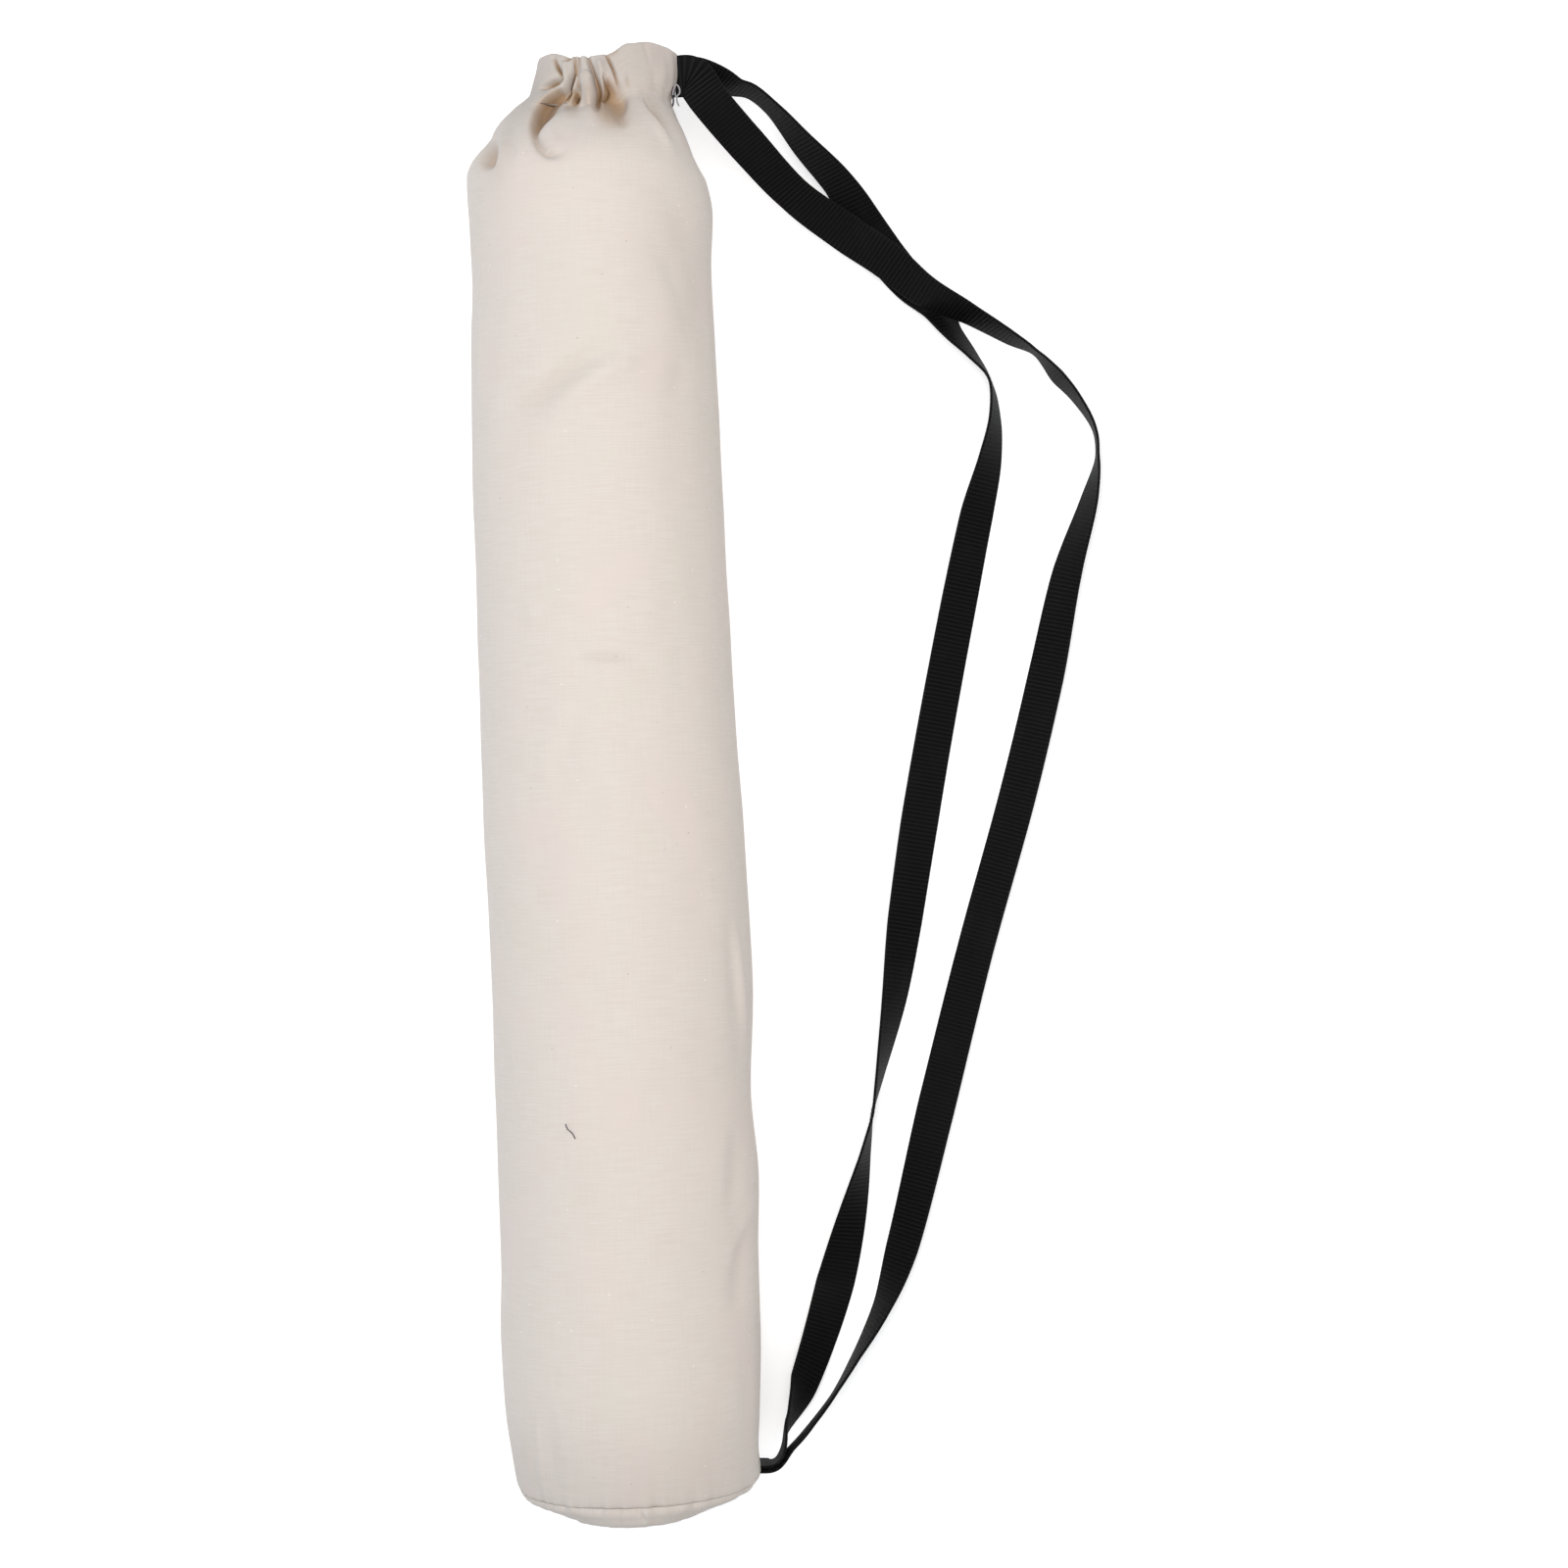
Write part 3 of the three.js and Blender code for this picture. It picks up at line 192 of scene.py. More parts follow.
# Creases and soft folds of the canvas, each a line that the camera sees.
# Point: column, row of the frame; width on the side to the left of a line that runs down
# (below one that runs to the right); width on its other side; depth in mm, negative for a ridge.
# power: 2 is round, nearer 1 is sharp at its bottom.
CREASES = [
    # casing, from the left lobe to the right one
    ("under_left_lobe", 1.5, [
        (550, 91, 3.5, 1.8, 0.7), (556, 87, 4.4, 1.8, 4.2), (564, 83, 4.4, 1.8, 5.0),
        (572, 80, 3.4, 1.7, 3.6),
    ]),
    ("lobe_edge", 1.4, [
        (565, 59, 1.6, 1.6, 1.5), (568, 67, 1.6, 1.8, 3.0), (572, 74, 1.6, 2.0, 3.0), (572, 81, 2, 2, 2.2),
    ]),
    ("lip_notch", 2.0, [(576, 61, 2.5, 2.5, 2.0), (580, 57.5, 2.5, 2.5, 4.5), (584, 54, 2, 2, 2.0)]),
    ("first_gap", 1.6, [
        (587, 62, 1.5, 1.3, 3.0), (586.5, 72, 1.8, 1.5, 6.5), (583, 82, 2.0, 1.7, 8.0),
        (579, 92, 2.2, 2.0, 8.5), (575, 100, 2.6, 2.2, 6.5),
    ]),
    ("second_gap", 1.6, [(586, 53, 1.2, 1.2, 2.0), (586, 62, 1.2, 1.2, 1.6), (586.5, 70, 1, 1, 1.0)]),
    ("third_gap", 1.5, [
        (591, 53, 1.2, 1.2, 1.8), (590.5, 65, 1.2, 1.4, 1.8), (590, 77, 1.5, 1.5, 1.8),
        (589, 88, 2, 1.6, 3.0),
    ]),
    ("first_pleat", 2.0, [(577, 66, 4, 4, -1.6), (577, 80, 4, 4, -1.8), (574, 92, 3.5, 3.5, -1.2)]),
    ("centre_pleat", 2.0, [(596, 55, 5, 5, -1.2), (598, 68, 6, 6, -1.6), (599, 76, 6, 6, -1.8)]),
    ("centre_brow", 2.0, [
        (589, 79, 2.4, 2.2, -0.8), (596, 76.5, 2.4, 2.4, -1.8), (603, 76.5, 2.4, 2.4, -1.6),
        (607, 80, 2, 2, -0.5),
    ]),
    ("centre_tab", 2.0, [
        (600, 86, 7, 6, -2.4), (601, 96, 6.5, 5.5, -3.2), (602, 108, 5.5, 5, -3.0),
        (603, 118, 5.5, 5.5, -1.2), (604, 128, 7, 7, 0),
    ]),
    ("left_pocket", 1.8, [
        (591, 88, 3, 2, 2.5), (589, 95, 4.5, 2.8, 7.5), (587, 101, 5.5, 3.4, 8.0), (580, 106, 5, 4.4, 5.0),
    ]),
    ("right_gap", 1.6, [
        (598.5, 54, 1.6, 1.6, 2.2), (602, 64, 2.2, 1.6, 3.4), (605.5, 75, 2.2, 1.8, 4.8),
        (609.5, 86, 2.6, 2.3, 8.0), (611.5, 95, 3.0, 2.8, 10.0), (610, 104, 2.8, 2.8, 8.0),
        (608.5, 111, 2.4, 3.2, 2.5),
    ]),
    ("narrow_strip", 2.0, [(612, 66, 4, 4, -1.4), (614.5, 82, 3, 2, -1.8), (616, 96, 2, 1.5, -1.5)]),
    ("hook_pocket", 1.8, [
        (617, 79, 1.8, 3.4, 2.5), (618.5, 87, 1.8, 4, 7.0), (619, 95, 1.9, 4.4, 8.0),
        (617, 102, 2.2, 4.4, 5.0),
    ]),
    ("thin_line", 1.5, [
        (618.5, 56, 1.3, 1.6, 1.6), (622, 63, 1.4, 1.8, 2.6), (626.5, 73, 1.3, 1.6, 2.4),
        (631, 88, 1.3, 1.6, 1.0),
    ]),
    ("third_pleat", 2.0, [(610, 58, 4, 4, -0.8), (614, 70, 4.5, 4.5, -1.3), (622, 82, 4, 3, -1.0)]),
    ("right_hollow", 2.0, [
        (622, 84, 5, 7, 2.0), (625, 94, 7, 10, 4.8), (629, 106, 9, 13, 5.4), (634, 118, 9, 12, 3.6),
        (640, 130, 8, 12, 0.9),
    ]),
    ("lobe_ripple_one", 2.0, [(640, 74, 2.5, 2.5, 0.2), (641, 82, 2.5, 2.5, 0.7), (642, 90, 2.5, 2.5, 0.1)]),
    ("lobe_ripple_two", 2.0, [(657, 44, 3, 3, 0.5), (660, 56, 3, 3, 0.5), (662, 66, 3, 3, 0.1)]),
    ("lobe_ripple_three", 2.0, [(665, 66, 4, 4, 0.1), (667, 80, 4, 4, 0.6), (668, 96, 4, 4, 0.3)]),
    ("lobe_ripple_four", 2.0, [(676, 60, 4, 4, -0.1), (677, 75, 4, 4, -0.5), (677, 92, 4, 4, -0.1)]),
    # shoulder
    ("band_over_valley", 2.0, [
        (580, 88, 4, 4, -0.6), (566, 93, 4, 4, -1.2), (553, 101, 4, 4, -1.2), (542, 109, 4, 4, -0.8),
        (536, 118, 5, 5, -0.3),
    ]),
    ("hooked_valley", 1.9, [
        (576, 93, 2.5, 5, 5.0), (568, 97, 2.6, 8, 8.5), (558, 105, 2.6, 10, 9.0), (550, 115, 2.6, 9, 7.5),
        (545.5, 125, 2.8, 7, 5.6), (544.5, 135, 3, 5, 3.6), (546.5, 144, 3.5, 5, 2.8),
        (551.5, 151.5, 4, 4, 2.4), (559, 156.5, 4.5, 4, 2.4), (568, 157, 4.5, 3.5, 1.2),
        (577, 153, 5, 4, 0.2),
    ]),
    ("valley_bank", 2.0, [
        (590, 112, 7, 7, -0.5), (574, 121, 8, 8, -1.6), (562, 133, 8, 8, -1.6), (566, 146, 8, 7, -0.8),
    ]),
    ("left_dimple", 2.0, [
        (503, 146, 5, 5, 1.2), (500, 155, 7, 7, 5.0), (496, 165, 8, 7, 5.0), (491, 173, 8, 6, 1.0),
    ]),
    ("dimple_rim", 2.0, [(512, 140, 3.5, 4, -0.5), (511, 152, 3.5, 4, -1.0), (508, 166, 3.5, 4, -0.6)]),
    ("left_ripple_one", 2.0, [(524, 132, 4, 5, 0.3), (522, 148, 4, 5, 1.0), (520, 168, 4, 6, 0.3)]),
    ("left_ripple_two", 2.0, [(534, 122, 4, 4, -0.2), (532, 140, 4, 4, -0.6), (531, 160, 5, 5, -0.2)]),
    ("right_crease", 1.8, [
        (657, 98, 2, 6, 0.4), (662, 105, 2, 9, 2.0), (669, 115, 2, 9, 2.6), (676, 126, 2, 7, 2.0),
        (683, 138, 2, 6, 0.6),
    ]),
    ("right_ridge", 2.0, [
        (664, 117, 4, 3, -0.3), (671, 128, 4, 3.5, -1.2), (678, 140, 4, 4, -1.2), (685, 153, 4, 4, -0.4),
    ]),
    ("lobe_foot", 2.0, [(645, 100, 6, 6, 0.3), (652, 112, 7, 7, 0.9), (658, 128, 8, 8, 0.3)]),
    # barrel
    ("diagonal_crease", 2.0, [
        (516, 436, 18, 16, 0.2), (534, 418, 19, 15, 1.7), (556, 396, 18, 13, 2.8), (578, 376, 16, 12, 2.8),
        (608, 358, 14, 11, 1.9), (654, 340, 12, 9, 0.3),
    ]),
    ("diagonal_crest", 2.0, [
        (562, 420, 12, 12, -0.5), (584, 402, 13, 13, -2.2), (612, 382, 12, 12, -2.2),
        (640, 366, 12, 12, -1.4), (664, 354, 10, 10, -0.2),
    ]),
    ("upper_hollow", 2.0, [(690, 362, 14, 12, 0.2), (693, 385, 16, 13, 1.2), (684, 408, 15, 13, 0.3)]),
    ("right_shade", 2.0, [
        (664, 232, 14, 16, 0.2), (682, 266, 13, 18, 1.5), (698, 298, 12, 16, 1.4), (708, 345, 11, 14, 0.9),
        (716, 390, 10, 12, 0.2),
    ]),
    ("left_spot", 2.0, [(542, 608, 8, 8, -0.1), (543, 625, 8, 8, -0.7), (541, 644, 8, 8, -0.1)]),
    ("cross_crease", 1.8, [
        (596, 672, 4, 4, 0.2), (612, 671, 3.5, 3.5, 1.1), (632, 672, 3.5, 3.5, 1.1), (650, 674, 4, 4, 0.2),
    ]),
    ("curved_fold", 2.0, [
        (582, 722, 8, 6, -0.1), (566, 744, 9, 6, -0.8), (556, 770, 9, 6, -0.8), (550, 806, 9, 7, -0.1),
    ]),
    ("curved_hollow", 2.0, [
        (596, 730, 9, 9, 0.1), (582, 756, 9, 9, 0.6), (573, 784, 9, 9, 0.5), (566, 815, 9, 9, 0.1),
    ]),
    ("right_line", 1.7, [
        (750, 940, 4, 3, -0.2), (754, 975, 3.5, 2.5, -1.0), (758, 1020, 3.5, 2.5, -1.1),
        (763, 1070, 4, 3, -0.3),
    ]),
    ("right_line_hollow", 2.0, [
        (744, 950, 7, 4, 0.3), (749, 1000, 7, 4, 1.0), (754, 1060, 7, 4, 0.5), (756, 1100, 8, 5, 0.1),
    ]),
    ("low_hollow_one", 2.0, [
        (752, 1150, 8, 8, 0.3), (751, 1180, 10, 9, 1.8), (750, 1210, 10, 9, 1.8), (746, 1238, 8, 8, 0.4),
    ]),
    ("low_hollow_two", 2.0, [
        (756, 1246, 9, 9, 0.5), (757, 1280, 11, 10, 2.0), (754, 1315, 10, 10, 1.6), (752, 1345, 9, 9, 0.3),
    ]),
    ("low_crest", 2.0, [
        (774, 1218, 5, 4, -0.3), (764, 1240, 5, 4, -1.2), (753, 1266, 5, 4, -1.2), (744, 1290, 5, 4, -0.3),
    ]),
    ("low_right_dent", 2.0, [
        (762, 1362, 8, 8, 0.2), (764, 1400, 9, 8, 1.2), (768, 1450, 8, 8, 0.8), (770, 1480, 8, 8, 0.1),
    ]),
    ("low_left_crest", 1.8, [
        (547, 1440, 4, 3, -0.2), (549, 1470, 4, 3, -0.9), (552, 1505, 4, 3, -0.9), (555, 1524, 4, 3, -0.3),
    ]),
    ("low_left_hollow", 2.0, [(560, 1450, 5, 7, 0.2), (563, 1485, 5, 8, 0.8), (567, 1518, 5, 8, 0.4)]),
]
# Shadow held in the folds, as lines like the creases'. The last number is its strength:
# up to 1 is brown, from there to 2 it goes dark.
SHADES = [
    ("right_gap", 1.8, [
        (599.5, 57.5, 1.0, 1.0, 0.6), (603, 65, 1.0, 1.0, 0.7), (606, 72.5, 1.1, 1.1, 0.9),
        (608.6, 80, 1.3, 1.3, 1.1), (610.8, 88, 1.8, 2.2, 1.4), (611.5, 95, 2.2, 2.8, 1.5),
        (610.3, 101.5, 2.0, 2.6, 1.4), (609, 107, 1.6, 2.2, 0.6),
    ]),
    ("hook", 1.8, [
        (616, 80.5, 1.5, 1.4, 0.6), (619.5, 86, 2.0, 2.0, 0.9), (620.5, 93, 2.2, 2.2, 1.0),
        (618.6, 99.5, 2.4, 2.2, 1.0), (615, 101.5, 2, 2, 0.8),
    ]),
    ("right_hollow", 2.0, [
        (620, 85, 4, 6, 0.6), (622, 94, 7, 9, 0.85), (623, 104, 11, 11, 0.78), (624, 114, 14, 13, 0.60),
        (627, 122, 13, 12, 0.34), (630, 130, 9, 8, 0.05),
    ]),
    ("hollow_foot", 2.0, [
        (614, 110, 6, 6, 0.3), (617, 118, 8, 8, 0.35), (626, 125, 9, 9, 0.3), (638, 122, 8, 8, 0.2),
        (644, 114, 7, 7, 0.05),
    ]),
    ("left_pocket", 2.0, [
        (585, 92, 3, 2.5, 0.6), (588, 97, 5.5, 2.6, 1.7), (589.3, 103, 6.5, 2.4, 1.9), (588, 108, 5, 3, 0.8),
        (584, 114, 7, 6, 0.25),
    ]),
    ("first_gap", 1.6, [
        (586.5, 59, 1, 1, 0.7), (586.7, 71, 1.1, 1.1, 1.2), (585.4, 78.6, 1.2, 1.2, 1.7),
        (583.2, 85, 1.4, 1.4, 1.8), (580.5, 91.5, 1.3, 1.3, 1.7), (576.5, 98, 1.2, 1.2, 1.2),
    ]),
    ("third_gap", 1.8, [
        (590, 57, 0.8, 0.8, 0.5), (590.3, 66, 0.8, 0.8, 0.5), (590, 76, 0.9, 0.9, 0.2),
        (589, 86, 1.2, 1.2, 0.5),
    ]),
    ("thin_line", 1.7, [
        (618, 56, 1.2, 1.2, 0.8), (622, 63, 1.3, 1.3, 1.1), (626, 73, 1.2, 1.2, 1.1),
        (630, 84, 1.1, 1.1, 0.6),
    ]),
    ("lip_notch", 2.0, [(576, 62, 1.8, 1.8, 0.4), (580, 58.3, 2.2, 2, 1.0), (584, 55, 1.8, 1.8, 0.6)]),
    ("lobe_edge", 1.8, [(565.5, 61, 1.2, 1.4, 0.6), (568.6, 69.5, 1.4, 1.6, 1.2), (572, 75, 1.6, 1.6, 1.2)]),
    ("under_left_lobe", 1.8, [
        (551, 90.5, 1.3, 1.0, 0.3), (557.5, 86, 1.3, 1.0, 0.9), (564, 82.8, 1.3, 1.0, 1.2),
        (571.5, 81.3, 1.3, 1.0, 1.0),
    ]),
    ("hooked_valley", 2.6, [
        (569, 96, 5, 5, 0.75), (562, 103, 6.5, 6.5, 0.98), (554.5, 111, 6.5, 6.5, 0.98),
        (548.5, 120, 5.5, 5.5, 0.86), (544.5, 128, 4.5, 4.5, 0.62), (545, 137, 4, 4, 0.34),
        (549, 146, 4.5, 4.5, 0.2), (556, 153, 5, 5, 0.1), (566, 156, 5, 5, 0.04),
    ]),
    ("left_dimple", 2.2, [
        (505, 146, 4, 2.5, 0.15), (502.5, 155, 10, 3.5, 0.28), (497, 165, 10, 4, 0.26),
        (491, 172, 8, 4, 0.05),
    ]),
    ("right_crease", 2.0, [
        (661, 103, 5, 4, 0.1), (668, 112, 6, 5, 0.22), (675, 122, 6, 5, 0.22), (682, 134, 6, 5, 0.08),
    ]),
    ("centre_tab", 2.2, [
        (600, 84, 5.5, 5.5, 0.05), (600.5, 93, 5.5, 5.5, 0.30), (601, 104, 5, 5, 0.30),
        (602, 114, 5.5, 5.5, 0.12),
    ]),
    ("lobe_spots", 2.0, [(640, 76, 2.5, 2.5, 0.10), (641, 84, 2.5, 2.5, 0.25), (642, 92, 2.5, 2.5, 0.05)]),
    ("lobe_corner", 2.0, [(623, 55, 3, 2.2, 0.5), (627, 52, 3, 2.2, 0.6), (630, 50, 2, 2, 0.2)]),
    ("exit_edge", 2.0, [(687, 88, 2, 2, 0.2), (685, 98, 2.5, 2, 0.5), (686, 108, 2.5, 2, 0.3)]),
]
# Places with a little painted shade on the cloth, as lines like the shades'
PAINTED_SHADE_PLACES = [
    ("left_dimple", 2.2, [
        (505, 147, 4, 2.5, 0.3), (503, 156, 10, 3.5, 0.6), (498, 166, 10, 4, 0.6), (491, 173, 8, 4, 0.15),
    ]),
    ("shoulder_left", 2.0, [
        (548, 92, 8, 8, 0.3), (528, 118, 12, 12, 0.45), (514, 146, 12, 12, 0.5), (506, 176, 14, 12, 0.35),
        (500, 205, 14, 12, 0.05),
    ]),
    ("right_shoulder", 2.0, [
        (655, 96, 6, 6, 0.1), (664, 106, 8, 6, 0.35), (673, 118, 9, 6, 0.4), (682, 134, 9, 6, 0.2),
    ]),
    ("hooked_tail", 2.0, [
        (550, 146, 6, 8, 0.3), (557, 155, 7, 8, 0.4), (568, 158, 7, 7, 0.35), (580, 154, 6, 6, 0.1),
    ]),
    ("left_lobe", 2.0, [(556, 68, 8, 8, 0.2), (546, 82, 8, 8, 0.3), (536, 98, 8, 8, 0.2)]),
    ("under_pocket", 2.0, [(572, 114, 6, 6, 0.3), (584, 114, 7, 7, 0.3), (590, 112, 5, 5, 0.1)]),
    ("base_right", 2.0, [
        (774, 1330, 12, 12, 0.1), (781, 1390, 14, 12, 0.75), (785, 1440, 14, 12, 0.75),
        (786, 1485, 12, 12, 0.3),
    ]),
    ("first_dark", 2.0, [
        (528, 426, 16, 14, 0.05), (545, 406, 15, 11, 0.18), (566, 386, 14, 10, 0.18), (596, 365, 12, 9, 0.10),
        (640, 346, 10, 9, 0.03),
    ]),
    ("low_line", 2.0, [
        (590, 672, 5, 5, 0.05), (606, 671, 4, 3, 0.3), (634, 672, 4, 3, 0.3), (652, 674, 5, 5, 0.05),
    ]),
    ("upper_right", 2.0, [
        (665, 200, 16, 16, 0.1), (684, 232, 14, 14, 0.3), (698, 270, 12, 14, 0.35), (706, 315, 10, 12, 0.25),
        (712, 360, 10, 10, 0.05),
    ]),
]
# Creases of the base panel
BASE_CREASES = [
    ("base_crease", 1.6, [(652, 1541, 2, 2, 0.8), (656, 1548, 2.2, 2.2, 1.0), (661, 1556, 2, 2, 0.4)]),
    ("base_crease_left", 1.8, [(572, 1532, 3, 3, 0.5), (578, 1540, 3, 3, 0.7), (588, 1549, 3, 3, 0.3)]),
    ("base_crease_right", 1.8, [(715, 1528, 3, 3, 0.4), (708, 1536, 3, 3, 0.5), (698, 1545, 3, 3, 0.2)]),
]


# ---------------------------------------------------------------- small helpers
def bump(distance, width):
    return np.exp(-((distance / width) ** 2))


def turn_between(a, b):
    return np.arctan2(np.sin(a - b), np.cos(a - b))


def smooth_step(value, low, high):
    share = np.clip((value - low) / (high - low), 0, 1)
    return share * share * (3 - 2 * share)


def eased(xs, ys, at):
    """Smooth curve through a table's points that never overshoots them."""
    xs, ys = np.asarray(xs, float), np.asarray(ys, float)
    step = np.diff(xs)
    slope = np.diff(ys) / step
    inner = np.zeros(len(xs))
    same = slope[:-1] * slope[1:] > 0
    w1, w2 = 2 * step[1:] + step[:-1], step[1:] + 2 * step[:-1]
    with np.errstate(divide="ignore", invalid="ignore"):
        harmonic = (w1 + w2) / (w1 / slope[:-1] + w2 / slope[1:])
    inner[1:-1] = np.where(same, harmonic, 0)
    inner[0], inner[-1] = slope[0], slope[-1]
    at = np.clip(np.asarray(at, float), xs[0], xs[-1])
    i = np.clip(np.searchsorted(xs, at, side="right") - 1, 0, len(step) - 1)
    h = step[i]
    t = (at - xs[i]) / h
    return (
        (2 * t**3 - 3 * t**2 + 1) * ys[i]
        + (t**3 - 2 * t**2 + t) * h * inner[i]
        + (3 * t**2 - 2 * t**3) * ys[i + 1]
        + (t**3 - t**2) * h * inner[i + 1]
    )


def soft_noise(points, size, seed):
    """Smooth noise of about one size in millimetres at each point."""
    flat = points.reshape(-1, 3) / np.asarray(size, float) + seed * 17.3
    found = [noise.noise(Vector(p)) for p in flat.tolist()]
    return np.array(found).reshape(points.shape[:-1])


def crease_line(points, fineness=6):
    """The crease's points with more between them, on a smooth line."""
    rows = np.array(points, float)
    at = np.arange(len(rows))
    fine = np.linspace(0, len(rows) - 1, (len(rows) - 1) * fineness + 1)
    out = np.empty((len(fine), rows.shape[1]))
    tangent = np.gradient(rows, axis=0)
    i = np.clip(np.floor(fine).astype(int), 0, len(rows) - 2)
    t = (fine - at[i])[:, None]
    out[:] = (
        (2 * t**3 - 3 * t**2 + 1) * rows[i]
        + (t**3 - 2 * t**2 + t) * tangent[i]
        + (3 * t**2 - 2 * t**3) * rows[i + 1]
        + (t**3 - t**2) * tangent[i + 1]
    )
    out[:, 2:4] = np.maximum(out[:, 2:4], 0.6)
    return out


def crease_depth(creases, col, row):
    """Total depth of a table's creases where the camera sees each point."""
    total = np.zeros(col.shape)
    for _, power, points in creases:
        line = crease_line(points)
        reach = 3.2 * line[:, 2:4].max()
        near = (
            (col > line[:, 0].min() - reach) & (col < line[:, 0].max() + reach)
            & (row > line[:, 1].min() - reach) & (row < line[:, 1].max() + reach)
        )
        if not near.any():
            continue
        x, y = col[near], row[near]
        best = np.full(x.shape, 1e9)
        value = np.zeros(x.shape)
        for a, b in zip(line[:-1], line[1:]):
            dx, dy = b[0] - a[0], b[1] - a[1]
            length = math.hypot(dx, dy)
            t = np.clip(((x - a[0]) * dx + (y - a[1]) * dy) / length**2, 0, 1)
            off = np.hypot(x - a[0] - t * dx, y - a[1] - t * dy)
            side = dx * (y - a[1]) - dy * (x - a[0])
            width_first = a[2] + t * (b[2] - a[2])
            width_second = a[3] + t * (b[3] - a[3])
            soft_edge = 0.4 * (width_first + width_second)
            blend_side = 0.5 + 0.5 * np.clip(side / length / soft_edge, -1, 1)
            width = width_second + (width_first - width_second) * blend_side
            scaled = off / width
            depth = (a[4] + t * (b[4] - a[4])) * np.exp(-(scaled**power))
            closer = scaled < best
            best = np.where(closer, scaled, best)
            value = np.where(closer, depth, value)
        total[near] += value
    return total


# Share of each angle round the bag that the camera sees, as sines of the angle
UPPER_FROM, UPPER_FULL = -0.02, 0.22
SIDE_FULL, SIDE_NONE = -0.15, 0.45
SIDE_LEAST = 0.12
# Soft unevenness of cloth over a rolled mat: size along x, y, z and depth
SWELL_SIZE, SWELL_DEPTH = (42, 120, 42), 0.9
RIPPLE_SIZE, RIPPLE_DEPTH = (16, 34, 16), 0.35
# Shade that a fold's depth gives by itself
DEPTH_SHADE = 0.35
SHADE_FROM, SHADE_FULL = 0.6, 7.0


def painted_fold_shade(depth, col, row):
    """Shadow that the folds hold, from 0 to 2: what their depth gives and the table of shades."""
    shade = DEPTH_SHADE * smooth_step(depth, SHADE_FROM, SHADE_FULL) + crease_depth(SHADES, col, row)
    return np.clip(shade, 0, 2)


def folded(points, angles, drawn=1, ends=1):
    """Depth that the cloth is moved in at each point, and its shade."""
    col, row = seen(points)
    upper = smooth_step(np.sin(angles), UPPER_FROM, UPPER_FULL)
    depth = crease_depth(CREASES, col, row) * upper
    tint = painted_fold_shade(depth, col, row) * upper
    side = 1 - smooth_step(np.sin(angles), SIDE_FULL, SIDE_NONE)
    depth = depth + side_pleat_depth(angles) * drawn * np.maximum(side, SIDE_LEAST)
    cloth = on_barrel(points, angles)
    depth = depth + SWELL_DEPTH * soft_noise(cloth, SWELL_SIZE, 1) * ends
    depth = depth + RIPPLE_DEPTH * soft_noise(cloth, RIPPLE_SIZE, 2)
    return depth, tint


def on_barrel(points, angles):
    """The same points on a plain barrel, so that noise keeps an even size on the folded cloth."""
    cloth = points.copy()
    cloth[..., 0] = np.cos(angles) * BARREL_RADIUS
    cloth[..., 2] = np.sin(angles) * BARREL_RADIUS
    return cloth


# ---------------------------------------------------------------- the canvas form
def section_table():
    """Edges of the outline at each row along the bag: y, left, right, top, under, middles, drawn."""
    rows = []
    for along, left, right, top, under in BARREL_ROWS:
        rows.append((
            BASE_SEAM_Y + along * BARREL_LENGTH,
            -left * BARREL_RADIUS, right * BARREL_RADIUS,
            BARREL_MIDDLE + top * BARREL_RADIUS, BARREL_MIDDLE - under * BARREL_RADIUS,
            0, BARREL_MIDDLE, 0,
        ))
    barrel = rows[-1]
    neck = (
        None,
        NECK_SHIFT - CASING_ROWS[0][1] * NECK_HALF_WIDTH,
        NECK_SHIFT + CASING_ROWS[0][2] * NECK_HALF_WIDTH,
        NECK_HEIGHT + NECK_HALF_HEIGHT, NECK_HEIGHT - NECK_HALF_HEIGHT,
        NECK_SHIFT, NECK_HEIGHT,
    )
    for along, *shares in SHOULDER_ROWS:
        edges = [barrel[i] + (neck[i] - barrel[i]) * share for i, share in enumerate(shares, 1)]
        middles = [barrel[i] + (neck[i] - barrel[i]) * along for i in (5, 6)]
        rows.append((SHOULDER_Y + along * SHOULDER_LENGTH, *edges, *middles, along**GATHER_ONSET))
    for along, left, right, _ in CASING_ROWS[1:]:
        rows.append((
            NECK_SEAM_Y + along * CASING_DEPTH,
            NECK_SHIFT - left * NECK_HALF_WIDTH, NECK_SHIFT + right * NECK_HALF_WIDTH,
            NECK_HEIGHT + NECK_HALF_HEIGHT, NECK_HEIGHT - NECK_HALF_HEIGHT,
            NECK_SHIFT, NECK_HEIGHT, 1,
        ))
    return np.array(rows, float)


SECTIONS = section_table()


def neck_rise(angle):
    degrees = np.mod(angle / DEGREE, 360)
    around = np.array([r[0] for r in RISE_ROWS] + [360], float)
    rise = np.array([r[1] for r in RISE_ROWS] + [RISE_ROWS[0][1]])
    i = np.clip(np.searchsorted(around, degrees, side="right") - 1, 0, len(around) - 2)
    share = (degrees - around[i]) / (around[i + 1] - around[i])
    share = (1 - np.cos(np.pi * share)) / 2
    return NECK_RISE * (rise[i] + (rise[i + 1] - rise[i]) * share)


# Pleats that the camera doesn't see: sides and underside of the mouth, in degrees and millimetres
SIDE_PLEATS = [
    (10, 5, 1.2), (24, 4, 1.6), (168, 5, 1.8), (182, 4, 3.4), (196, 5, 4.2), (207, 3.5, 3.0), (221, 6, 5.0),
    (236, 4, 3.4), (249, 5, 4.8), (262, 3.5, 3.2), (274, 5.5, 5.2), (289, 4, 3.6), (301, 5, 4.6),
    (315, 4, 3.2), (329, 5.5, 4.2), (343, 4, 2.4),
]


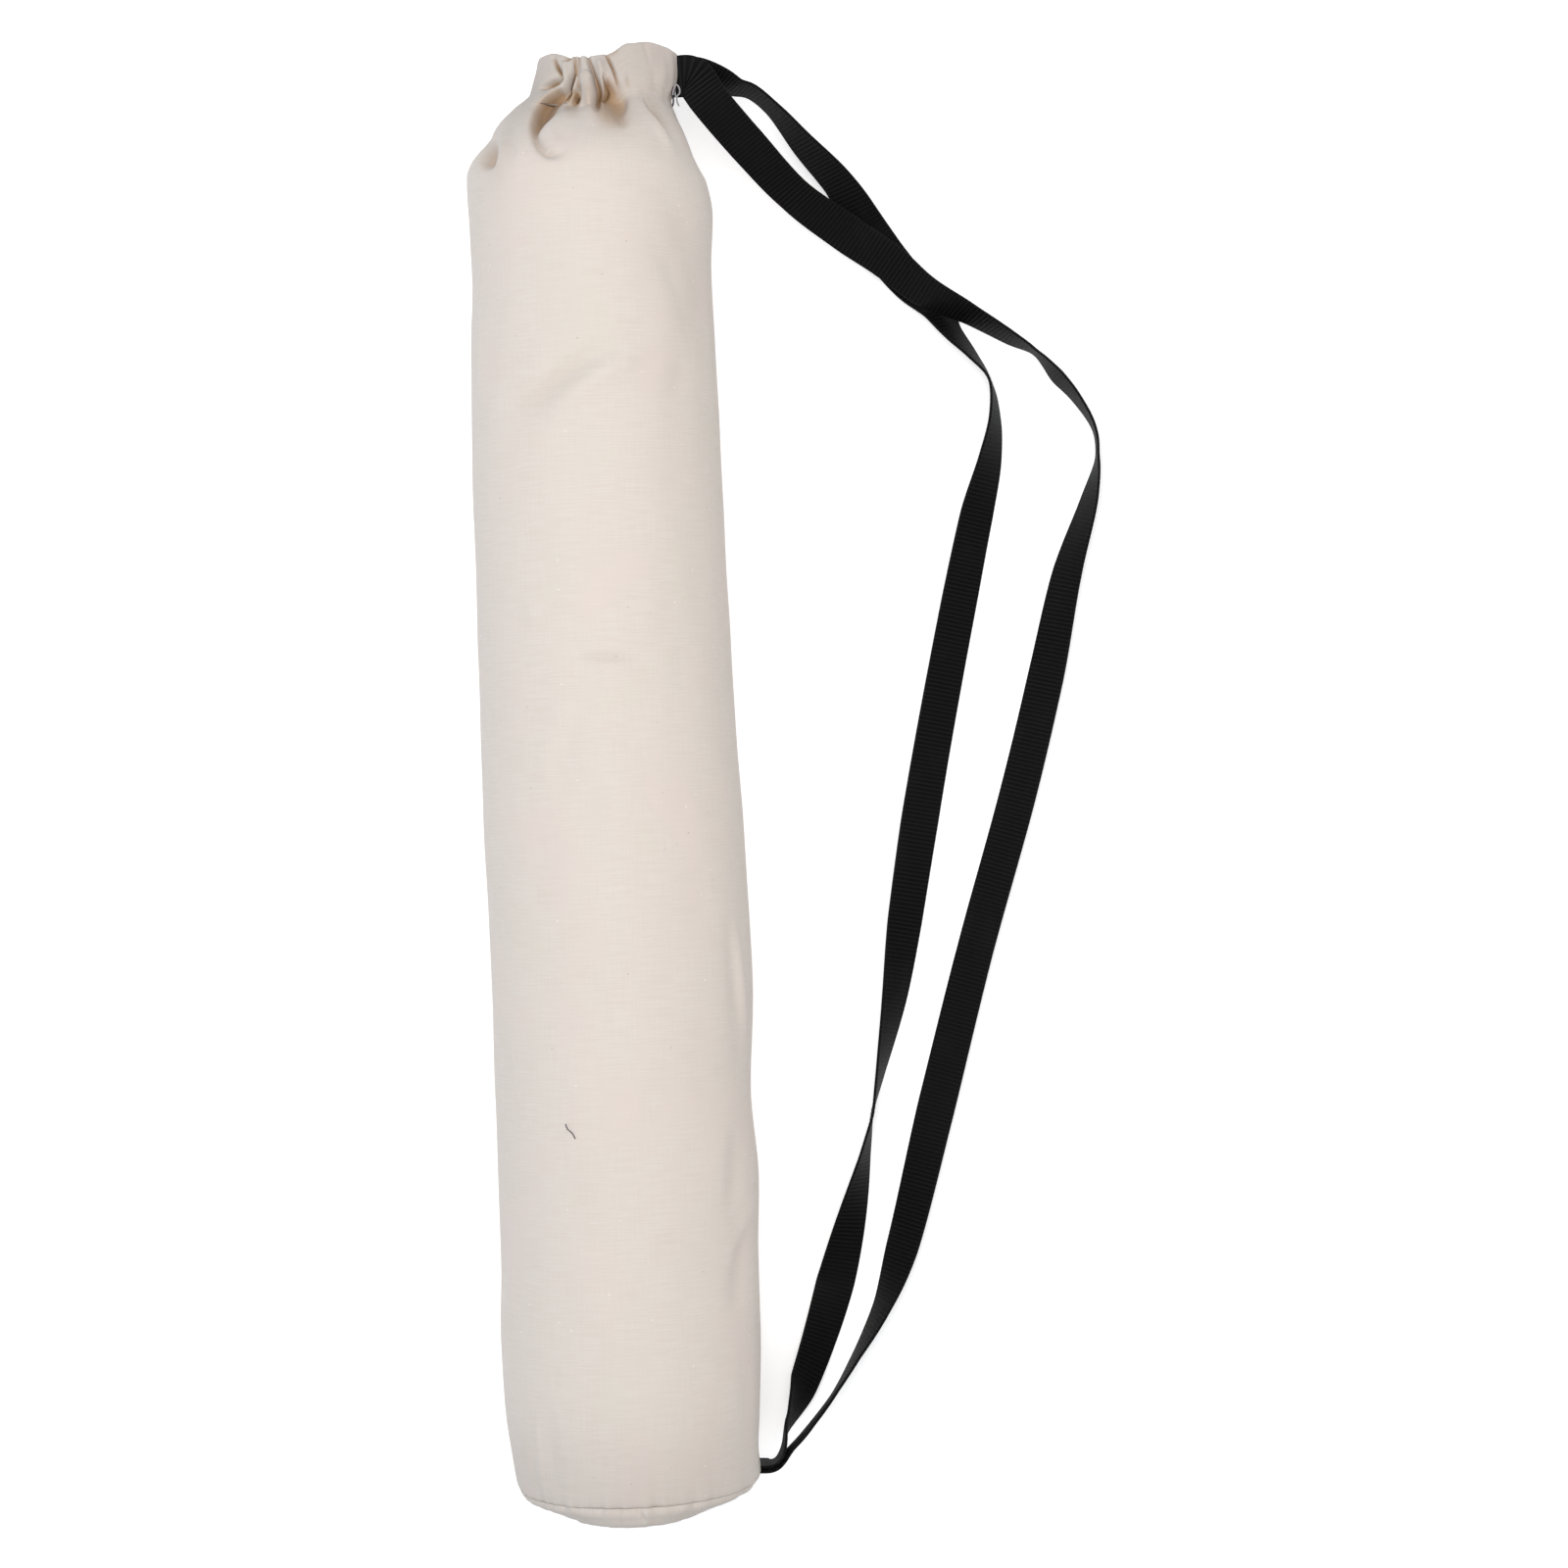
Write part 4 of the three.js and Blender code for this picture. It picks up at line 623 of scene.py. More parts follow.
def side_pleat_depth(angle):
    depth = 0
    for around, wide, deep in SIDE_PLEATS:
        off = np.abs(turn_between(angle, around * DEGREE)) / (wide * DEGREE)
        depth = depth + deep * np.exp(-(off**1.6))
    return depth


def exit_flare(angle):
    return bump(turn_between(angle, 0), EXIT_FLARE * DEGREE)


def column_angles(count):
    even = np.arange(count) / count * 2 * np.pi
    return even + COLUMN_BIAS * np.cos(even)


def canvas_base(ys, angles):
    """The canvas before its creases. Rows run along the bag and columns round it."""
    left, right, top, under, mid_x, mid_z, drawn = [
        eased(SECTIONS[:, 0], SECTIONS[:, i], ys)[:, None] for i in range(1, 8)
    ]
    c, s = np.cos(angles)[None, :], np.sin(angles)[None, :]
    out_x = np.where(c > 0, c * (right - mid_x), c * (mid_x - left))
    out_z = np.where(s > 0, s * (top - mid_z), s * (mid_z - under))
    reach = np.hypot(out_x, out_z)
    y = ys[:, None]
    corner = CORNER_PULL * bump(y - BASE_SEAM_Y, BASE_DEPTH) * bump(
        turn_between(angles, ANCHOR_ANGLE), STRAP_WIDTH / 2 / BARREL_RADIUS
    )[None, :]
    scale = 1 + corner / reach
    points = np.empty((len(ys), len(angles), 3))
    points[..., 0] = mid_x + out_x * scale
    points[..., 1] = y + neck_rise(angles)[None, :] * drawn
    points[..., 2] = mid_z + out_z * scale
    return points, drawn


def outward(points):
    """Unit normals of a grid that closes on itself round its columns."""
    round_it = np.roll(points, -1, 1) - np.roll(points, 1, 1)
    along = np.gradient(points, axis=0)
    normal = np.cross(round_it, along)
    normal /= np.maximum(np.linalg.norm(normal, axis=2, keepdims=True), 1e-9)
    middle = points.mean(1, keepdims=True)
    if ((points - middle) * normal).sum() < 0:
        normal = -normal
    return normal


def level_at_seam(normal, ys):
    """Turns normals near the casing's seam across the bag, so that both sides of it agree."""
    normal[..., 1] *= smooth_step(np.abs(ys - NECK_SEAM_Y), 0, 9)[:, None]
    return normal / np.linalg.norm(normal, axis=2, keepdims=True)


def spokes(angles):
    """Unit directions from the bag's axis, one for each column."""
    return np.stack([np.cos(angles), np.zeros(len(angles)), np.sin(angles)], -1)


def settle_on_floor(points, lowest=0.0):
    """Flattens what would lie under the floor."""
    points[..., 2] = np.maximum(points[..., 2], lowest)
    return points


# ---------------------------------------------------------------- mesh building
# One unit of a UV map is this many millimetres
UV_MM = 100
# Greatest painted shade toward the mouth and toward the base
MOUTH_SHADE = 0.9
BASE_SHADE = 0.7


def grid_object(name, points, uv, wrap_rows=False, close_first=False, close_last=False):
    """Mesh of a grid that closes on itself round its columns.

    uv is in millimetres and has one column more than the grid.
    """
    rows, cols = points.shape[:2]
    links = rows if wrap_rows else rows - 1
    r = np.arange(links)[:, None]
    c = np.arange(cols)[None, :]
    r2, c2 = (r + 1) % rows, (c + 1) % cols
    corners = [r * cols + c, r * cols + c2, r2 * cols + c2, r2 * cols + c]
    quads = np.stack(corners, -1).reshape(-1, 4)
    uv_next = np.minimum(r + 1, uv.shape[0] - 1)
    loop_uv = np.stack([uv[r, c], uv[r, c + 1], uv[uv_next, c + 1], uv[uv_next, c]], 2)
    loop_uv = loop_uv.reshape(-1, 2)
    verts = points.reshape(-1, 3)
    faces = quads.tolist()
    extra_uv = []
    for closed, row in ((close_first, 0), (close_last, rows - 1)):
        if closed:
            hub = len(verts)
            verts = np.vstack([verts, points[row].mean(0)])
            for col in range(cols):
                faces.append([row * cols + col, row * cols + (col + 1) % cols, hub])
                middle = (uv[row, col] + uv[row, col + 1]) / 2
                extra_uv += [uv[row, col], uv[row, col + 1], middle]
    mesh = bpy.data.meshes.new(name)
    mesh.from_pydata((verts * MM).tolist(), [], faces)
    layer = mesh.uv_layers.new(name="cloth")
    all_uv = np.vstack([loop_uv, np.array(extra_uv).reshape(-1, 2)]) if extra_uv else loop_uv
    layer.data.foreach_set("uv", (all_uv / UV_MM).astype(np.float32).ravel())
    return add_object(name, mesh)


def painted_shading(points):
    """Soft neutral painted shade on the cloth, toward the ends and in the table's places."""
    col, row = seen(points)
    places = crease_depth(PAINTED_SHADE_PLACES, col, row) * (points[..., 2] > NECK_HEIGHT)
    return np.clip(painted_end_shade(points[..., 1]) + places, 0, 3)


def cloth_attributes(obj, tint, broad_shade):
    """Keeps each point's painted fold shadow and its painted broad shade on the mesh. Other points stay at 0.
    """
    for name, given in (("fold", tint), ("broad_shade", broad_shade)):
        values = np.zeros(len(obj.data.vertices), np.float32)
        values[: given.size] = given.ravel()
        obj.data.attributes.new(name, "FLOAT", "POINT").data.foreach_set("value", values)


def painted_end_shade(y):
    """Soft painted shade toward both ends of the bag, from 0 to 1."""
    mouth = smooth_step(y, NECK_SEAM_Y - 18, NECK_SEAM_Y + 12)
    foot = smooth_step(-y, -BASE_SEAM_Y - 60, -BASE_SEAM_Y + 10)
    return np.maximum(mouth * MOUTH_SHADE, foot * BASE_SHADE)


def add_object(name, mesh):
    mesh.validate()
    mesh.update()
    volume = sum(p.area * p.center.dot(p.normal) for p in mesh.polygons)
    if volume < 0:
        mesh.flip_normals()
    mesh.shade_smooth()
    obj = bpy.data.objects.new(name, mesh)
    scene.collection.objects.link(obj)
    return obj


def finish_piece(obj, slot, material, *nodes):
    """Gives a piece its material, puts it under the root body and hides the nodes that it replaces."""
    obj.data.materials.append(material)
    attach(obj, "root")
    if nodes:
        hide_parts(*nodes)
    return obj


# ---------------------------------------------------------------- materials
class Nodes:
    """Small helper that adds and links shader nodes."""

    def __init__(self, name):
        self.material = bpy.data.materials.new(name)
        self.material.use_nodes = True
        self.tree = self.material.node_tree
        self.shader = self.tree.nodes["Principled BSDF"]

    def add(self, kind, inputs=(), **settings):
        node = self.tree.nodes.new(kind)
        for key, value in settings.items():
            setattr(node, key, value)
        for key, value in dict(inputs).items():
            if isinstance(value, bpy.types.NodeSocket):
                self.tree.links.new(value, node.inputs[key])
            else:
                node.inputs[key].default_value = value
        return node

    def math(self, operation, a, b=0.0, c=0.0):
        return self.add("ShaderNodeMath", {0: a, 1: b, 2: c}, operation=operation).outputs[0]

    def scaled(self, vector, scale):
        return self.add("ShaderNodeVectorMath", {0: vector, 1: scale}, operation="MULTIPLY").outputs[0]

    def times(self, a, b):
        return self.math("MULTIPLY", a, b)

    def cloth(self):
        """Place on the flat cloth, in millimetres."""
        uv = self.add("ShaderNodeUVMap", uv_map="cloth").outputs[0]
        return self.scaled(uv, (UV_MM, UV_MM, UV_MM))

    def set(self, name, value):
        self.shader.inputs[name].default_value = value

    def noise(self, vector, scale, detail=2.0, rough=0.5):
        return self.add(
            "ShaderNodeTexNoise", {"Vector": vector, "Scale": scale, "Detail": detail, "Roughness": rough}
        ).outputs["Fac"]

    def ramp(self, value, low, high, to_low=0.0, to_high=1.0):
        return self.add(
            "ShaderNodeMapRange",
            {"Value": value, "From Min": low, "From Max": high, "To Min": to_low, "To Max": to_high},
            interpolation_type="SMOOTHSTEP",
        ).outputs[0]

    def mix(self, share, a, b):
        node = self.add("ShaderNodeMix", {}, data_type="RGBA")
        for socket, value in ((0, share), (6, a), (7, b)):
            if isinstance(value, bpy.types.NodeSocket):
                self.tree.links.new(value, node.inputs[socket])
            else:
                node.inputs[socket].default_value = value if socket == 0 else (*value, 1)
        return node.outputs[2]

    def join(self, output, name):
        self.tree.links.new(output, self.shader.inputs[name])


CANVAS_COLOUR = (0.612, 0.553, 0.500)
CANVAS_SHADE = (0.560, 0.488, 0.426)
CANVAS_LIGHT = (0.660, 0.610, 0.562)
CANVAS_PINK = (0.628, 0.540, 0.494)
CANVAS_YELLOW = (0.596, 0.550, 0.478)
SPECK_COLOUR = (0.33, 0.25, 0.18)
NEP_COLOUR = (0.78, 0.76, 0.73)
SLUB_COLOUR = (0.72, 0.68, 0.635)
WEAVE_PITCH = 0.66
RIB_PITCH = 2.0
# Colours of the painted shade in folds, in their darkest places and over broadly shaded cloth, each with its
# greatest share
FOLD_SHADE_COLOUR = (0.285, 0.125, 0.004)
FOLD_SHADE_SHARE = 0.66
PIT_SHADE_COLOUR = (0.075, 0.035, 0.008)
PIT_SHADE_SHARE = 0.85
PAINTED_SHADE_COLOUR = (0.190, 0.160, 0.145)
PAINTED_SHADE_SHARE = 0.30


def canvas_material():
    m = Nodes("unbleached_canvas")
    mm = m.cloth()
    split = m.add("ShaderNodeSeparateXYZ", {0: mm})
    u, v = split.outputs[0], split.outputs[1]
    # plain weave: threads cross over and under
    pitch = 2 * math.pi / WEAVE_PITCH
    warp = m.math("SINE", m.times(u, pitch))
    weft = m.math("SINE", m.times(v, pitch))
    weave = m.times(warp, weft)
    # slubs: uneven threads, stronger across the bag than along it
    weft_yarn = m.noise(m.scaled(mm, (0.06, 1.5, 0)), 1.0, 3.0, 0.6)
    warp_yarn = m.noise(m.scaled(mm, (1.4, 0.05, 0)), 1.0, 3.0, 0.6)
    thick_yarn = m.ramp(m.noise(m.scaled(mm, (0.09, 1.1, 0)), 1.0, 1.0, 0.5), 0.66, 0.80)
    mottle = m.noise(m.scaled(mm, (0.035, 0.02, 0)), 1.0, 3.0, 0.55)
    grain = m.noise(m.scaled(mm, (1.1, 1.1, 0)), 1.0, 2.0, 0.6)
    colour = m.mix(m.ramp(weft_yarn, 0.32, 0.68), CANVAS_SHADE, CANVAS_LIGHT)
    colour = m.mix(0.62, colour, CANVAS_COLOUR)
    warp_tone = m.mix(m.ramp(warp_yarn, 0.35, 0.65), CANVAS_SHADE, CANVAS_LIGHT)
    colour = m.mix(0.14, colour, warp_tone)
    colour = m.mix(m.times(m.ramp(mottle, 0.35, 0.7), 0.10), colour, CANVAS_SHADE)
    blotch = m.noise(m.scaled(mm, (0.024, 0.017, 0)), 1.0, 2.0, 0.6)
    colour = m.mix(m.times(m.ramp(blotch, 0.50, 0.66), 0.55), colour, CANVAS_PINK)
    colour = m.mix(m.times(m.ramp(blotch, 0.46, 0.30), 0.45), colour, CANVAS_YELLOW)
    colour = m.mix(m.times(thick_yarn, 0.22), colour, SLUB_COLOUR)
    # seed specks and pale neps
    cells = m.add("ShaderNodeTexVoronoi", {"Vector": m.scaled(mm, (0.16, 0.22, 0)), "Scale": 1.0})
    near = m.math("LESS_THAN", cells.outputs["Distance"], 0.075)
    pick = m.add("ShaderNodeSeparateColor", {0: cells.outputs["Color"]})
    dark_speck = m.times(near, m.math("GREATER_THAN", pick.outputs[0], 0.90))
    pale_speck = m.times(near, m.math("LESS_THAN", pick.outputs[0], 0.10))
    colour = m.mix(m.times(dark_speck, 0.45), colour, SPECK_COLOUR)
    colour = m.mix(m.times(pale_speck, 0.7), colour, NEP_COLOUR)
    fold = m.add("ShaderNodeAttribute", attribute_name="fold").outputs["Fac"]
    broad_shade = m.add("ShaderNodeAttribute", attribute_name="broad_shade").outputs["Fac"]
    # painted shade: a broad neutral shade toward the ends and in the listed places
    colour = m.mix(m.times(broad_shade, PAINTED_SHADE_SHARE), colour, PAINTED_SHADE_COLOUR)
    # painted shadow in the folds: brown, then near black in their deepest places
    colour = m.mix(m.times(m.math("MINIMUM", fold, 1.0), FOLD_SHADE_SHARE), colour, FOLD_SHADE_COLOUR)
    pit = m.math("MAXIMUM", m.math("SUBTRACT", fold, 1.0), 0.0)
    colour = m.mix(m.times(pit, PIT_SHADE_SHARE), colour, PIT_SHADE_COLOUR)
    m.join(colour, "Base Color")
    m.join(m.ramp(grain, 0.3, 0.7, 0.86, 0.96), "Roughness")
    m.set("Specular IOR Level", 0.25)
    m.set("Sheen Weight", 0.12)
    m.set("Sheen Roughness", 0.6)
    height = m.math("ADD", m.times(weave, 0.30), m.times(weft_yarn, 1.1))
    height = m.math("ADD", height, m.times(warp_yarn, 0.5))
    height = m.math("ADD", height, m.times(thick_yarn, 0.9))
    height = m.math("ADD", height, m.times(grain, 0.5))
    bumped = m.add("ShaderNodeBump", {"Strength": 0.45, "Distance": 0.00012, "Height": height})
    m.join(bumped.outputs[0], "Normal")
    return m.material


def webbing_material():
    m = Nodes("black_webbing")
    mm = m.cloth()
    split = m.add("ShaderNodeSeparateXYZ", {0: mm})
    across, along = split.outputs[0], split.outputs[1]
    rib = m.math("SINE", m.times(along, 2 * math.pi / RIB_PITCH))
    yarn = m.noise(m.scaled(mm, (2.6, 1.2, 0)), 1.0, 2.0, 0.6)
    fibre = m.noise(m.scaled(mm, (0.5, 6.0, 0)), 1.0, 3.0, 0.6)
    wear = m.noise(m.scaled(mm, (0.06, 0.03, 0)), 1.0, 2.0, 0.5)
    # ribs: painted highlight on their crests and painted shade in the grooves between them
    rib_crest_highlight = m.ramp(rib, 0.1, 1.0)
    colour = m.mix(m.times(rib_crest_highlight, 0.75), (0.0014, 0.0014, 0.0016), (0.0095, 0.0093, 0.0098))
    colour = m.mix(m.times(m.ramp(yarn, 0.55, 0.8), 0.5), colour, (0.012, 0.012, 0.0125))
    colour = m.mix(m.times(m.ramp(wear, 0.5, 0.8), 0.3), colour, (0.009, 0.009, 0.0093))
    m.join(colour, "Base Color")
    m.join(m.ramp(yarn, 0.3, 0.7, 0.52, 0.72), "Roughness")
    m.set("Specular IOR Level", 0.08)
    m.set("Sheen Weight", 0.008)
    height = m.math("ADD", m.times(yarn, 0.6), m.times(fibre, 0.6))
    bumped = m.add("ShaderNodeBump", {"Strength": 0.5, "Distance": 0.00015, "Height": height})
    m.join(bumped.outputs[0], "Normal")
    return m.material


def thread_material(name, colour):
    m = Nodes(name)
    mm = m.cloth()
    ply = m.noise(m.scaled(mm, (1.0, 3.0, 0)), 2.0, 2.0, 0.5)
    shade = tuple(c * 0.8 for c in colour)
    m.join(m.mix(m.ramp(ply, 0.35, 0.65), shade, colour), "Base Color")
    m.set("Roughness", 0.7)
    bumped = m.add("ShaderNodeBump", {"Strength": 0.4, "Distance": 0.0001, "Height": ply})
    m.join(bumped.outputs[0], "Normal")
    return m.material


CANVAS_CLOTH = canvas_material()
WEBBING_CLOTH = webbing_material()
GREY_THREAD = thread_material("grey_thread", (0.36, 0.34, 0.36))
DARK_THREAD = thread_material("dark_thread", (0.040, 0.028, 0.038))


def oval_point(angle, out):
    return (
        NECK_SHIFT + np.cos(angle) * (OVAL_WIDE + out),
        NECK_HEIGHT + np.sin(angle) * (OVAL_HIGH + out),
    )


FIT = STRAP_THICKNESS / 2 + STRAP_CLEARANCE + CANVAS


def casing_base(shares, around):
    """Outer layer of the casing before its creases, from its seam to where its lip turns over."""
    points, _ = canvas_base(NECK_SEAM_Y + shares * CASING_DEPTH, around)
    inward = eased([r[0] for r in CASING_INWARD], [r[1] for r in CASING_INWARD], shares)[:, None]
    inward = inward * (1 - exit_flare(around)[None, :])
    close_x, close_z = oval_point(around, FIT)
    points[..., 0] += (close_x[None, :] - points[..., 0]) * inward
    points[..., 2] += (close_z[None, :] - points[..., 2]) * inward
    return points


POCKET_FLOOR = STRAP_THICKNESS / 2 + 0.4
POCKET_TAPER = 1.1


def outside_webbing(points):
    """Keeps cloth outside the webbing in the casing, and just below the casing near it."""
    out = POCKET_FLOOR - POCKET_TAPER * np.maximum(NECK_SEAM_Y - points[..., 1], 0)
    wide, high = OVAL_WIDE + out, OVAL_HIGH + out
    kept = (wide > 1) & (high > 1)
    off_x = (points[..., 0] - NECK_SHIFT) / np.where(kept, wide, 1)
    off_z = (points[..., 2] - NECK_HEIGHT) / np.where(kept, high, 1)
    pushed = np.where(kept, np.maximum(1 / np.maximum(np.hypot(off_x, off_z), 0.05), 1), 1)
    points[..., 0] = NECK_SHIFT + (points[..., 0] - NECK_SHIFT) * pushed
    points[..., 2] = NECK_HEIGHT + (points[..., 2] - NECK_HEIGHT) * pushed
    return points


# ---------------------------------------------------------------- canvas body
SWELL_ONSET = 25
SEAM_DRAW, SEAM_DRAW_REACH = 0.9, 1.4
PUCKER_SIZE, PUCKER_DEPTH, PUCKER_REACH = (4.5, 500, 4.5), 1.1, 6.0


def canvas_creased(ys, angles):
    """The canvas with its creases: its points, the depth that each was moved in and its painted fold shade.
    """
    base, drawn = canvas_base(ys, angles)
    normal = level_at_seam(outward(base), ys)
    ends = smooth_step(ys, BASE_SEAM_Y, BASE_SEAM_Y + SWELL_ONSET)[:, None]
    depth, tint = folded(base, angles, drawn, ends)
    # the base seam draws in, with small puckers
    from_seam = ys[:, None] - BASE_SEAM_Y
    pucker = soft_noise(on_barrel(base[:1], angles), PUCKER_SIZE, 3)
    depth = depth + SEAM_DRAW * np.exp(-from_seam / SEAM_DRAW_REACH)
    depth = depth + PUCKER_DEPTH * pucker * np.exp(-from_seam / PUCKER_REACH)
    points = outside_webbing(base - normal * depth[..., None])
    return settle_on_floor(points), depth, tint


BODY_COLUMNS = 300
angles = column_angles(BODY_COLUMNS)


def spaced(low, high, step):
    """Values from low up to high, not with it, about a step apart."""
    return list(np.linspace(low, high, max(int(round((high - low) / step)), 1), endpoint=False))


# The body's last rows go on under the casing and keep just inside it
UNDERLAP = np.array([0.5, 1.0, 1.5])
UNDERLAP_INSET = np.array([0.12, 0.22, 0.30])
# Rows are closer together at the base seam, at the cross crease and over the shoulder
body_rows = np.array(
    spaced(BASE_SEAM_Y, BASE_SEAM_Y + 8, 0.7)
    + spaced(BASE_SEAM_Y + 8, BASE_SEAM_Y + 40, 2.2)
    + spaced(BASE_SEAM_Y + 40, 40, 4.1)
    + spaced(40, 64, 1.5)
    + spaced(64, 120, 4.1)
    + spaced(120, SHOULDER_Y - 14, 2.8)
    + spaced(SHOULDER_Y - 14, NECK_SEAM_Y, 0.55)
    + [NECK_SEAM_Y]
)


def cloth_uv(ys, count):
    """Flat place of each point of the canvas, in millimetres, with one column more than the grid."""
    flat = np.append(column_angles(count), column_angles(count)[0] + 2 * np.pi) * BARREL_RADIUS
    uv = np.empty((len(ys), count + 1, 2))
    uv[..., 0] = flat[None, :]
    uv[..., 1] = ys[:, None]
    return uv


outer, outer_depth, outer_tint = canvas_creased(body_rows, angles)
under = casing_base(UNDERLAP / CASING_DEPTH, angles)
under_depth, _ = folded(under, angles)
under_normal = level_at_seam(outward(under), NECK_SEAM_Y + UNDERLAP)
under = outside_webbing(under - under_normal * under_depth[..., None])
outer = np.concatenate([outer, under - spokes(angles) * UNDERLAP_INSET[:, None, None]])

inner_rows = np.concatenate([
    np.linspace(BASE_SEAM_Y, SHOULDER_Y, 16, endpoint=False),
    np.linspace(SHOULDER_Y, NECK_SEAM_Y, 18),
])
inner_base, _ = canvas_base(inner_rows, angles)
inner_normal = level_at_seam(outward(inner_base), inner_rows)


def deepest_near(depth, reach):
    """Greatest depth within some columns of each point."""
    found = depth.copy()
    for shift in range(1, reach + 1):
        found = np.maximum(found, np.maximum(np.roll(depth, shift, 1), np.roll(depth, -shift, 1)))
    return found


# the inner face goes as deep as the deepest fold near it, so that it never shows through
NEAR_COLUMNS, SHOULDER_MARGIN, END_MARGIN = 4, 2, 40
near_depth = deepest_near(outer_depth, NEAR_COLUMNS)
inner_depth = np.empty(inner_base.shape[:2])
halfway = (inner_rows[:-1] + inner_rows[1:]) / 2
edges = np.concatenate([[inner_rows[0] - END_MARGIN], halfway, [inner_rows[-1] + END_MARGIN]])
for i, inner_y in enumerate(inner_rows):
    margin = inner_rows[1] - inner_rows[0] if inner_y < SHOULDER_Y else SHOULDER_MARGIN
    window = (body_rows >= edges[i] - margin) & (body_rows <= edges[i + 1] + margin)
    inner_depth[i] = near_depth[window].max(0)
inner = inner_base - inner_normal * (np.maximum(inner_depth, 0) + CANVAS)[..., None]
inner = settle_on_floor(inner, CANVAS)[::-1]
shell = np.concatenate([outer, inner])
shell_rows = np.concatenate([
    body_rows, NECK_SEAM_Y + UNDERLAP, inner_rows[::-1], [inner_rows[0] - 1],
])
body = grid_object("bag_canvas", shell, cloth_uv(shell_rows, BODY_COLUMNS), wrap_rows=True)
under_tint = np.repeat(outer_tint[-1:], len(UNDERLAP), 0)
cloth_attributes(body, np.concatenate([outer_tint, under_tint]), painted_shading(shell))
finish_piece(body, "canvas", CANVAS_CLOTH, "bag_body")


# ---------------------------------------------------------------- mouth casing
CASING_COLUMNS = 480
OUTER_STEPS, LIP_STEPS, INNER_STEPS = 64, 10, 20
# Share of the casing's depth where its lip starts to turn over, and the depth of the turn
LIP_START = 0.92
LIP_TURN = 0.08
# Share of the folds that the lip's inner edge keeps, and limits of the inner layer's ripples
LIP_FOLD = 0.4
INNER_RIPPLE = (-0.5, 2.4)
INNER_FADE = 0.8
casing_angles = column_angles(CASING_COLUMNS)
outer_shares = np.linspace(0, LIP_START, OUTER_STEPS)
casing_outer = casing_base(outer_shares, casing_angles)
face_x, face_z = oval_point(casing_angles, -FIT)
rise = neck_rise(casing_angles)
edge = casing_outer[-1]
inner_layer = np.array([
    np.stack([face_x, NECK_SEAM_Y + share * CASING_DEPTH + rise, face_z], -1)
    for share in np.linspace(LIP_START, 0, INNER_STEPS)
])
lip_rows = []
for i in range(1, LIP_STEPS):
    turn = math.pi * i / LIP_STEPS
    lip_row = edge + (inner_layer[0] - edge) * (1 - math.cos(turn)) / 2
    lip_rows.append(lip_row + np.array([0, LIP_TURN * CASING_DEPTH * math.sin(turn), 0]))
outer_count, lip_count = len(casing_outer), len(lip_rows)
casing_normal = level_at_seam(outward(casing_outer), NECK_SEAM_Y + outer_shares * CASING_DEPTH)
# creases: full on the outer layer, easing over the lip, and ripples on the inner layer
full = np.concatenate([casing_outer, np.array(lip_rows)])
casing_depth, casing_tint = folded(full, casing_angles)
normal_all = np.concatenate([casing_normal, np.repeat(casing_normal[-1:], lip_count, 0)])
lip_easing = (1 + np.cos(np.pi * np.arange(1, lip_count + 1) / LIP_STEPS)) / 2
over_lip = np.concatenate([np.ones(outer_count), lip_easing * (1 - LIP_FOLD) + LIP_FOLD])
moved = full - normal_all * (casing_depth * over_lip[:, None])[..., None]
moved[:outer_count] = outside_webbing(moved[:outer_count])
ripple = np.clip(casing_depth[outer_count - 1] * LIP_FOLD, *INNER_RIPPLE)
ripple = ripple[None, :] * np.linspace(1, INNER_FADE, INNER_STEPS)[:, None]
inner_layer = inner_layer - spokes(casing_angles) * ripple[..., None]
casing_shell = np.concatenate([moved, inner_layer])
casing_uv_rows = np.concatenate([
    NECK_SEAM_Y + outer_shares * CASING_DEPTH,
    NECK_SEAM_Y + CASING_DEPTH * (LIP_START + np.arange(1, lip_count + 1) / LIP_STEPS * 0.3),
    NECK_SEAM_Y + CASING_DEPTH * (1.25 + np.linspace(0, LIP_START, INNER_STEPS)),
    [NECK_SEAM_Y + CASING_DEPTH * 2.3],
])
casing_uv = cloth_uv(casing_uv_rows, CASING_COLUMNS)
casing = grid_object("mouth_hem", casing_shell, casing_uv, wrap_rows=True)
cloth_attributes(casing, casing_tint, painted_shading(casing_shell))
finish_piece(casing, "canvas", CANVAS_CLOTH, "mouth_casing")


# ---------------------------------------------------------------- base panel
BASE_STEPS, BASE_INNER_STEPS = 34, 12
BASE_GAP = 0.05
BASE_SWELL, BASE_SWELL_DEPTH = 0.7, 0.5
seam_base, _, _ = canvas_creased(np.array([BASE_SEAM_Y, BASE_SEAM_Y + 0.5]), angles)
seam_ring = seam_base[0]
sideways = np.cos(angles) ** 2


def dish(depth, steps):
    """Rings of the base panel from its seam to its middle, a given depth under its outer face."""
    path = np.linspace(0, len(BASE_ROWS) - 1, steps)
    outs, tops, sides = [eased(np.arange(len(BASE_ROWS)), shares, path) for shares in zip(*BASE_ROWS)]
    rings = []
    for out, top, side in zip(outs, tops, sides):
        size = top + (side - top) * sideways
        y = BASE_SEAM_Y - BASE_GAP - out * (BASE_DEPTH - BASE_GAP - depth)
        x = seam_ring[:, 0] * size
        z = BARREL_MIDDLE + (seam_ring[:, 2] - BARREL_MIDDLE) * size
        rings.append(np.stack([x, np.full(len(x), y), z], -1))
    rings = np.array(rings)
    radial = rings - np.array([0, 0, BARREL_MIDDLE])
    radial[..., 1] = 0
    length = np.linalg.norm(radial, axis=2, keepdims=True)
    rings -= radial / np.maximum(length, 1) * depth
    return rings, outs


